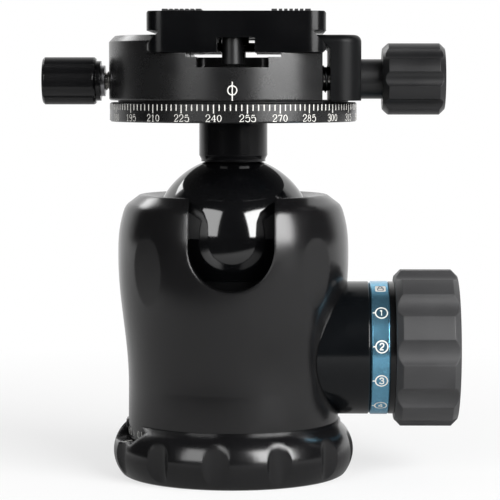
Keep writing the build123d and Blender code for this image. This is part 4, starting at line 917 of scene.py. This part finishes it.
@dataclass
class PanningBase(Assembly):
    """The base flange with its bush, axle and bearing, and the index line in its window."""

    window_angle: float = 199.5
    sill_z: float = 8.4 * MM
    sill_start: float = 22.4 * MM
    sill_slope: float = 8.0
    index_from: float = 23.5 * MM
    index_length: float = 2.1 * MM
    index_width: float = 0.32 * MM
    paint: float = 0.03 * MM
    thread_pitch: float = 25.4 / 16 * MM
    thread_major: float = 4.7625 * MM
    thread_minor: float = 3.97 * MM
    bush_chamfer: float = 0.8 * MM

    def build(self) -> None:
        """Dresses the base's nodes and adds the index and the bush's thread."""
        self.dress(BASE_BLACK, "base_flange")
        self.dress(ALLOY, "pan_axle", "pan_nut")
        self.dress(ACETAL, "pan_washer")
        self.dress(STEEL_UPRIGHT, "base_screws")
        self.index_line()
        self.threaded_bush()

    def index_line(self) -> None:
        """A painted line down the window's sloping sill."""
        bm = bmesh.new()
        size = Matrix.Diagonal((self.index_length, self.index_width, 2 * self.paint, 1.0))
        out = Matrix.Translation((self.index_from - self.sill_start + self.index_length / 2, 0.0, 0.0))
        sill = Matrix.Translation((self.sill_start, 0.0, self.sill_z))
        slope = Matrix.Rotation(math.radians(self.sill_slope), 4, "Y")
        turn = Matrix.Rotation(math.radians(self.window_angle), 4, "Z")
        bmesh.ops.create_cube(bm, size=1.0, matrix=turn @ sill @ slope @ out @ size)
        piece_from(bm, "base_index", WHITE_PAINT, "base")

    def threaded_bush(self) -> None:
        """The steel bush with the tripod's thread cut inside."""
        _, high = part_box("tripod_bush")
        outer, height = high.x, high.z
        bore, lead = self.thread_major, self.bush_chamfer
        bm = bmesh.new()
        ring = [(bore + lead, 0.0), (outer, 0.0), (outer, height), (bore, height), (bore, lead)]
        lathe(bm, ring, Matrix.Identity(4), closed=True)
        winding = Winding(self.thread_pitch, (height - lead) / self.thread_pitch - 1.0, steps=32)
        start = Matrix.Translation((0.0, 0.0, lead))
        winding.ridge(bm, bore + THREAD_SINK, self.thread_minor, start)
        bush = piece_from(bm, "tripod_bush_thread", STEEL_UPRIGHT, "base")
        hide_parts("tripod_bush")


@dataclass
class Housing(Assembly):
    """The shell with its inner parts, the knob's boss and the degree scale at its foot."""

    foot_radius: float = 23.4 * MM
    scale_foot_z: float = 9.3 * MM
    digit_height: float = 1.5 * MM
    tick_length: float = 1.1 * MM
    tick_step: float = 5.0
    number_step: int = 15
    zero_turn: float = 60.0
    number_shift: float = -1.6
    tick_shift: float = 2.2
    tick_width: float = 0.2 * MM
    line: float = 0.22 * MM
    narrow: float = 0.8

    def build(self) -> None:
        """Dresses the housing's nodes and adds its scale."""
        self.dress(HOUSING_BLACK, "housing")
        self.dress(BOSS_BLACK, "knob_boss")
        self.dress(ALLOY, "floor_plate", "track_plate", "pressure_block")
        self.dress(ACETAL, "upper_race", "ball_seat")
        self.dress(STEEL_UPRIGHT, "track_screws")
        self.dress(STEEL, "boss_screws", "clamp_wedge")
        self.dress(SPRING_STEEL, "seat_spring")
        self.foot_scale()

    def foot_scale(self) -> None:
        """Degree numbers and ticks round the foot, seen through the base's window."""
        drum = Drum(self.foot_radius, Vector((0.0, 0.0, self.scale_foot_z)), DrumAxis.UPRIGHT)
        sheet = MarkSheet(drum, Pen(self.digit_height, self.line, narrow=self.narrow))
        for n in range(round(360 / self.tick_step)):
            degrees = n * self.tick_step
            turn = degrees - self.zero_turn
            numbered = degrees % self.number_step == 0
            if numbered:
                sheet.number(f"{round(degrees)}", 0.0, turn + self.number_shift)
            length = self.digit_height if numbered else self.tick_length
            sheet.bar(self.tick_width, length, 0.0, turn + self.tick_shift)
        sheet.piece("foot_scale", FAINT_PAINT, "housing")


@dataclass
class BallAndStem(Assembly):
    """The ball, its neck and the panning head's scale ring with the parts inside."""

    scale_radius: float = 27.25 * MM
    scale_top_z: float = 82.5 * MM
    top_edge: float = 0.3 * MM
    reading: float = 247.5
    step: float = 2.5
    major_step: int = 15
    minor_length: float = 1.30 * MM
    major_length: float = 1.85 * MM
    tick_width: float = 0.24 * MM
    digit_height: float = 1.42 * MM
    digit_foot_z: float = 78.62 * MM
    line: float = 0.19 * MM

    def build(self) -> None:
        """Dresses the ball and the stem and engraves the ring."""
        self.dress(BALL_BLACK, "ball")
        self.dress(NECK_BLACK, "neck_sleeve")
        self.dress(TOP_BLACK, "scale_ring")
        self.dress(ACETAL, "top_washer", "bearing_washer")
        self.dress(STEEL_UPRIGHT, "ring_screws", "neck_bolt", "spindle")
        self.dress(ALLOY, "spindle_nut")
        self.engrave_ring()

    def engrave_ring(self) -> None:
        """Ticks every two and a half degrees, and a number every fifteen."""
        drum = Drum(self.scale_radius, Vector((0.0, 0.0, 0.0)), DrumAxis.UPRIGHT)
        sheet = MarkSheet(drum, Pen(self.digit_height, self.line))
        top = self.scale_top_z - self.top_edge
        for n in range(round(360 / self.step)):
            degrees = n * self.step
            turn = degrees - self.reading
            major = degrees % self.major_step == 0
            length = self.major_length if major else self.minor_length
            sheet.bar(self.tick_width, length, top - length, turn)
            if major:
                sheet.number(f"{round(degrees)}", self.digit_foot_z, turn)
        sheet.piece("ring_scale", WHITE_PAINT, "stem")


@dataclass
class TensionRing(Assembly):
    """The blue ring with its circled settings."""

    radius: float = 14.8 * MM
    knob_z: float = 28.0 * MM
    middle_x: float = 32.45 * MM
    circle_radius: float = 1.30 * MM
    digit_height: float = 1.35 * MM
    line: float = 0.28 * MM
    turns: tuple[float, ...] = (37.0, 7.0, -23.0, -53.0)
    lock_turn: float = 67.0
    sign_width: float = 2.3 * MM
    sign_height: float = 2.5 * MM
    sign_corner: float = 0.35 * MM
    lock_size: float = 1.7 * MM
    lock_line: float = 0.26 * MM
    sign_proud: float = 0.02 * MM
    tick_reach: float = 0.45
    digit_middle: Span = (0.32, 0.5)

    def build(self) -> None:
        """Dresses the ring and paints its marks."""
        self.dress(RING_BLUE, "tension_ring")
        drum = Drum(self.radius, Vector((0.0, 0.0, self.knob_z)), DrumAxis.LYING)
        sheet = MarkSheet(drum, Pen(self.digit_height, self.line, serifs=False))
        r = self.circle_radius / self.digit_height
        circle = ((LOOP, (0.0, 0.0, r, r)),)
        tick = ((LINE, (-r - self.tick_reach, 0.0, BOLD), (-r, 0.0, BOLD)),)
        centring = tuple(-share * self.digit_height for share in self.digit_middle)
        for n, turn in enumerate(self.turns, start=1):
            digit = str(n)
            sheet.stamp("circle", circle, (0.0, 0.0), self.middle_x, turn)
            sheet.stamp("tick", tick, (0.0, 0.0), self.middle_x, turn)
            sheet.stamp(digit, GLYPHS[digit], centring, self.middle_x, turn)
        sheet.plate(self.sign_width, self.sign_height, self.sign_corner, self.middle_x, self.lock_turn)
        sheet.piece("ring_settings", WHITE_PAINT, "friction_ring")
        self.lock_sign()

    def lock_sign(self) -> None:
        """A padlock's outline on the white sign where the ring locks."""
        face = Drum(self.radius + self.sign_proud, Vector((0.0, 0.0, self.knob_z)), DrumAxis.LYING)
        sheet = MarkSheet(face, Pen(self.lock_size, self.lock_line, serifs=False))
        sheet.stamp("lock", PADLOCK, (0.0, 0.0), self.middle_x, self.lock_turn)
        sheet.piece("ring_lock_sign", DARK_PAINT, "friction_ring")


@dataclass
class MainKnob(Assembly):
    """The large locking knob: hub, rubber grip and the screw inside."""

    def build(self) -> None:
        """Dresses the knob's nodes."""
        self.dress(HUB_BLACK, "knob_hub")
        self.dress(GRIP_RUBBER, "knob_grip")
        self.dress(STEEL, "main_screw", "hub_screw")
        self.dress(ACETAL, "knob_washer")


@dataclass
class LockKnob(Assembly):
    """A small lock knob with its threaded rod, clip and brass shoe."""

    prefix: str
    pitch: float = 0.7 * MM
    depth: float = 0.38 * MM

    def build(self) -> None:
        """Dresses the knob's nodes and cuts the rod's thread."""
        self.dress(KNOB_BLACK, f"{self.prefix}_lock_knob")
        self.dress(SPRING_STEEL, f"{self.prefix}_lock_clip")
        self.dress(BRASS, f"{self.prefix}_shoe")
        rod = ThreadedRod(f"{self.prefix}_lock_screw", f"{self.prefix}_lock", self.pitch, self.depth)
        rod.build(STEEL)


@dataclass
class ScrewClamp(Assembly):
    """The clamp body with its level, the moving jaw and the jaw's knob."""

    radius: float = 27.4 * MM
    index_foot_z: float = 83.0 * MM
    index_top_z: float = 87.0 * MM
    circle_z: float = 85.2 * MM
    circle_radius: float = 0.95 * MM
    line: float = 0.24 * MM
    index_turn: float = 0.8
    screw_pitch: float = 1.0 * MM
    screw_depth: float = 0.55 * MM
    spring_wire: float = 0.55 * MM
    spring_turns: int = 6

    def build(self) -> None:
        """Dresses the clamp's nodes, paints its index and winds its springs."""
        self.dress(TOP_BLACK, "clamp_body")
        self.dress(JAW_BLACK, "moving_jaw")
        self.dress(CHARCOAL, "clamp_knob")
        self.dress(STEEL, "guide_pins")
        ThreadedRod("clamp_screw", "jaw_knob", self.screw_pitch, self.screw_depth).build(STEEL)
        self.springs()
        self.dress(CUP_ALLOY, "level_cup")
        self.dress(GREEN_GLASS, "level_vial")
        self.index_mark()

    def index_mark(self) -> None:
        """A line through a ring on the clamp's front."""
        drum = Drum(self.radius, Vector((0.0, 0.0, 0.0)), DrumAxis.UPRIGHT)
        sheet = MarkSheet(drum, Pen(self.circle_radius, self.line, serifs=False))
        sheet.bar(self.line, self.index_top_z - self.index_foot_z, self.index_foot_z, self.index_turn)
        circle = ((LOOP, (0.0, 0.0, 1.0, 1.0)),)
        sheet.stamp("circle", circle, (0.0, 0.0), self.circle_z, self.index_turn)
        sheet.piece("clamp_index", WHITE_PAINT, "clamp")

    def springs(self) -> None:
        """Coil springs round the guide pins, which push the jaw open."""
        low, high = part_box("jaw_springs")
        outer = (high.z - low.z) / 2
        length = high.x - low.x - self.spring_wire
        winding = Winding(length / self.spring_turns, self.spring_turns)
        bm = bmesh.new()
        for y in (low.y + outer, high.y - outer):
            start = Vector((low.x + self.spring_wire / 2, y, (low.z + high.z) / 2))
            place = along_axis(start, Vector((1.0, 0.0, 0.0)))
            winding.wire(bm, outer - self.spring_wire / 2, self.spring_wire, place)
        coils = piece_from(bm, "jaw_spring_coils", SPRING_STEEL, "clamp")
        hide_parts("jaw_springs")


@dataclass
class QuickPlate(Assembly):
    """The quick-release plate with its pads, stops and camera screw."""

    head_height: float = 1.5 * MM
    head_edge: float = 0.3 * MM
    neck_radius: float = 2.4 * MM
    thread_length: float = 3.8 * MM
    thread_radius: float = 3.175 * MM
    thread_root: float = 2.50 * MM
    thread_pitch: float = 25.4 / 20 * MM
    tip: float = 0.4 * MM
    slot_half_width: float = 0.8 * MM
    slot_half_length: float = 5.4 * MM
    slot_depth: float = 0.9 * MM

    def build(self) -> None:
        """Dresses the plate's nodes and turns its camera screw."""
        self.dress(PLATE_BLACK, "quick_plate")
        self.dress(PAD_RUBBER, "plate_pads")
        self.dress(BLACKED_STEEL, "stop_screws")
        self.dress(SPRING_STEEL, "screw_clip")
        self.camera_screw()

    def camera_screw(self) -> None:
        """The captive screw: a slotted head, a plain neck and a short thread."""
        low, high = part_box("camera_screw")
        head = (high.x - low.x) / 2
        length = high.z - low.z
        thread_foot = length - self.thread_length
        place = Matrix.Translation(((low.x + high.x) / 2, (low.y + high.y) / 2, low.z))
        bm = bmesh.new()
        neck, root = self.neck_radius, self.thread_root
        outline = [(0.0, 0.0), (head - self.head_edge, 0.0), (head, self.head_edge), (head, self.head_height)]
        outline += [(neck, self.head_height), (neck, thread_foot), (root, thread_foot)]
        outline += [(root, length - self.tip), (root - self.tip, length), (0.0, length)]
        lathe(bm, outline, Matrix.Identity(4))
        self.coin_slot(bm)
        winding = Winding(self.thread_pitch, self.thread_length / self.thread_pitch - 1.0)
        start = Matrix.Translation((0.0, 0.0, thread_foot))
        winding.ridge(bm, root - THREAD_SINK, self.thread_radius, start)
        bmesh.ops.transform(bm, matrix=place, verts=bm.verts)
        screw = piece_from(bm, "camera_screw_thread", STEEL_UPRIGHT, "camera_bolt")
        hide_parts("camera_screw")

    def flat_faces(self, bm: BMesh) -> list:
        """The faces at height 0."""
        return [face for face in bm.faces if all(vert.co.z < MERGE_DISTANCE for vert in face.verts)]

    def coin_slot(self, bm: BMesh) -> None:
        """Presses a slot for a coin into the head's flat face.

        Args:
            bm: the screw's mesh, with that face at height 0.
        """
        half = Vector((self.slot_half_length, self.slot_half_width, 0.0))
        for n, sign in ((0, 1), (0, -1), (1, 1), (1, -1)):
            normal = Vector([float(sign * (n == k)) for k in range(3)])
            flat = self.flat_faces(bm)
            geom = [*linked(flat, "verts"), *linked(flat, "edges"), *flat]
            cut = half[n] * normal
            bmesh.ops.bisect_plane(bm, geom=geom, dist=MERGE_DISTANCE, plane_co=cut, plane_no=normal)
        middles = [(face, face.calc_center_median()) for face in self.flat_faces(bm)]
        floor = [face for face, middle in middles if abs(middle.x) < half.x and abs(middle.y) < half.y]
        made = bmesh.ops.extrude_face_region(bm, geom=floor)
        bmesh.ops.delete(bm, geom=floor, context="FACES")
        sunk = [item for item in made["geom"] if isinstance(item, bmesh.types.BMVert)]
        bmesh.ops.translate(bm, verts=sunk, vec=(0.0, 0.0, self.slot_depth))


# ---- studio
@dataclass(frozen=True)
class Lamp:
    """A softbox that faces the object's middle."""

    name: str
    azimuth: float
    elevation: float
    distance: float
    width: float
    height: float
    power: float

    def build(self, aim: Vector) -> None:
        """Hangs the lamp. Azimuth 0 is in front of the aim and 90 on the knob's side.

        Args:
            aim: what the lamp faces.
        """
        a, e = math.radians(self.azimuth), math.radians(self.elevation)
        out = Vector((math.sin(a) * math.cos(e), -math.cos(a) * math.cos(e), math.sin(e)))
        data = bpy.data.lights.new(self.name, "AREA")
        data.shape = "RECTANGLE"
        data.size = self.width
        data.size_y = self.height
        data.energy = self.power
        lamp = new_object(self.name, data)
        lamp.location = aim + out * self.distance
        lamp.rotation_mode = "QUATERNION"
        lamp.rotation_quaternion = out.to_track_quat("Z", "Y")


LAMPS = (
    Lamp("softbox_right", 43.0, 22.0, 0.90, 0.64, 0.58, 14.0),
    Lamp("softbox_left", -35.0, 23.0, 0.90, 0.45, 0.58, 3.3),
    Lamp("rim_left", -142.0, 33.0, 0.90, 0.42, 0.14, 0.8),
)
AIM = Vector((3.7, 0.0, 49.7)) * MM
EYE = Vector((11.0, -507.0, 87.0)) * MM


@dataclass
class Studio:
    """Floor, white backdrop, softboxes and camera."""

    aim: Vector
    eye: Vector
    lens: float = 164.7
    sensor_width: float = 36.0
    clip_start: float = 0.01
    clip_end: float = 20.0
    floor_size: float = 8.0
    floor_colour: float = 0.86
    table_front: float = 0.165
    table_skew: float = 0.5
    # the level gloss sees right by the object: painted shade
    table_painted_shade: float = 0.30
    table_far: float = 0.62
    ambient: float = 0.30
    front_dark: float = 0.030
    backdrop_inner: float = 46.0
    backdrop_outer: float = 64.0
    backdrop_low: float = 40.0
    backdrop_top: float = 84.0
    table_fade: Span = (-0.03, 0.01)
    painted_shade_reach: Span = (0.04, 0.15)
    behind_reach: Span = (0.05, 0.60)
    shadow_reach: Span = (0.04, 0.24)
    shadow_share: Span = (0.66, 1.0)
    floor_depth: float = 0.05 * MM
    stain_size: float = 0.4
    stain: float = 0.01

    def build(self) -> None:
        """Sets up everything around the object."""
        self.floor()
        self.world()
        for lamp in LAMPS:
            lamp.build(self.aim)
        self.camera()
        bpy.context.scene.view_settings.view_transform = "Standard"

    def floor(self) -> None:
        """A pale floor that shows as white, apart from the object's shadow.

        Gloss sees it dimmer, with painted shade that darkens it close to the object, and only as far forward
        as a table would reach.
        """
        bm = bmesh.new()
        place = Matrix.Translation((0.0, 0.0, -self.floor_depth))
        bmesh.ops.create_grid(bm, x_segments=1, y_segments=1, size=self.floor_size / 2, matrix=place)
        mesh = bpy.data.meshes.new("floor")
        bm.to_mesh(mesh)
        bm.free()
        graph = NodeGraph(bpy.data.materials.new("floor_white"))
        tint = graph.shaded((self.floor_colour,) * 3, graph.noise(self.stain_size), self.stain)
        diffuse = graph.add("ShaderNodeBsdfDiffuse", {"Color": tint})
        path = graph.add("ShaderNodeLightPath").outputs
        gloss = graph.math("MAXIMUM", path["Is Glossy Ray"], path["Is Transmission Ray"])
        split = graph.add("ShaderNodeSeparateXYZ", {0: graph.object_coords}).outputs
        forward = graph.math("ADD", split["Y"], graph.math("MULTIPLY", split["X"], self.table_skew))
        edge = tuple(fade - self.table_front for fade in self.table_fade)
        length = graph.add("ShaderNodeVectorMath", {0: graph.object_coords}, operation="LENGTH")
        distance = length.outputs["Value"]
        # Painted shade: gloss sees the floor darker close to the object, standing in for its shadow.
        painted_floor_shade = graph.ranged(distance, self.painted_shade_reach, (self.table_painted_shade, self.table_far))
        table = graph.math("MULTIPLY", painted_floor_shade, graph.ranged(forward, edge, (0.0, 1.0)))
        table = graph.math("MAXIMUM", table, self.front_dark)
        behind = graph.ranged(split["Y"], self.behind_reach, (0.0, 1.0 - self.table_far))
        level = graph.math("MULTIPLY", gloss, graph.math("ADD", table, behind))
        level = graph.math("ADD", level, path["Is Camera Ray"])
        glow = graph.add("ShaderNodeEmission", {"Color": WHITE, "Strength": level})
        far = graph.ranged(distance, self.shadow_reach, self.shadow_share)
        share = graph.math("MAXIMUM", graph.math("MULTIPLY", far, path["Is Camera Ray"]), gloss)
        mix = graph.add("ShaderNodeMixShader", {0: share, 1: diffuse.outputs[0], 2: glow.outputs[0]})
        mesh.materials.append(graph.finish(mix))
        floor = new_object("floor", mesh)

    def world(self) -> None:
        """White behind the object for gloss, dim in front of it, and white for the camera."""
        world = bpy.data.worlds.new("studio")
        bpy.context.scene.world = world
        graph = NodeGraph(world, "ShaderNodeOutputWorld")
        split = graph.add("ShaderNodeSeparateXYZ", {0: graph.coords["Generated"]}).outputs
        flat = graph.math("ADD", graph.math("POWER", split["X"], 2.0), graph.math("POWER", split["Y"], 2.0))
        facing = graph.math("DIVIDE", split["Y"], graph.math("POWER", flat, 0.5))
        sides = tuple(math.cos(math.radians(angle)) for angle in (self.backdrop_outer, self.backdrop_inner))
        heights = tuple(math.sin(math.radians(angle)) for angle in (self.backdrop_low, self.backdrop_top))
        across = graph.ranged(facing, sides, (0.0, 1.0))
        upward = graph.ranged(split["Z"], heights, (1.0, 0.0))
        backdrop = graph.ranged(graph.math("MULTIPLY", across, upward), (0.0, 1.0), (self.front_dark, 1.0))
        path = graph.add("ShaderNodeLightPath").outputs
        gloss = graph.math("MAXIMUM", path["Is Glossy Ray"], path["Is Transmission Ray"])
        other = graph.math("SUBTRACT", 1.0, graph.math("MAXIMUM", gloss, path["Is Camera Ray"]))
        level = graph.math("MULTIPLY", gloss, backdrop)
        level = graph.math("ADD", level, graph.math("MULTIPLY", other, self.ambient))
        level = graph.math("ADD", level, path["Is Camera Ray"])
        inputs = {"Color": WHITE, "Strength": level}
        graph.finish(graph.add("ShaderNodeBackground", inputs))

    def camera(self) -> None:
        """The camera, a little above the scale ring and aimed at the object's middle."""
        data = bpy.data.cameras.new("camera")
        data.sensor_width = self.sensor_width
        data.lens = self.lens
        data.clip_start = self.clip_start
        data.clip_end = self.clip_end
        camera = new_object("camera", data)
        camera.location = self.eye
        camera.rotation_mode = "QUATERNION"
        camera.rotation_quaternion = (self.aim - self.eye).to_track_quat("-Z", "Y")
        bpy.context.scene.camera = camera


def main() -> None:
    """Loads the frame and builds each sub-assembly in order."""
    logging.basicConfig(level=logging.INFO, format="%(name)s %(message)s")
    for leftover in list(bpy.data.objects):
        bpy.data.objects.remove(leftover)
    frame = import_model()
    nodes = frame["nodes"]
    for part in (
        PanningBase(nodes),
        Housing(nodes),
        BallAndStem(nodes),
        TensionRing(nodes),
        MainKnob(nodes),
        LockKnob(nodes, "top"),
        LockKnob(nodes, "pan"),
        ScrewClamp(nodes),
        QuickPlate(nodes),
    ):
        part.build()
        LOG.info("%s is done", type(part).__name__)
    Studio(AIM, EYE).build()


if __name__ == "__main__":
    main()
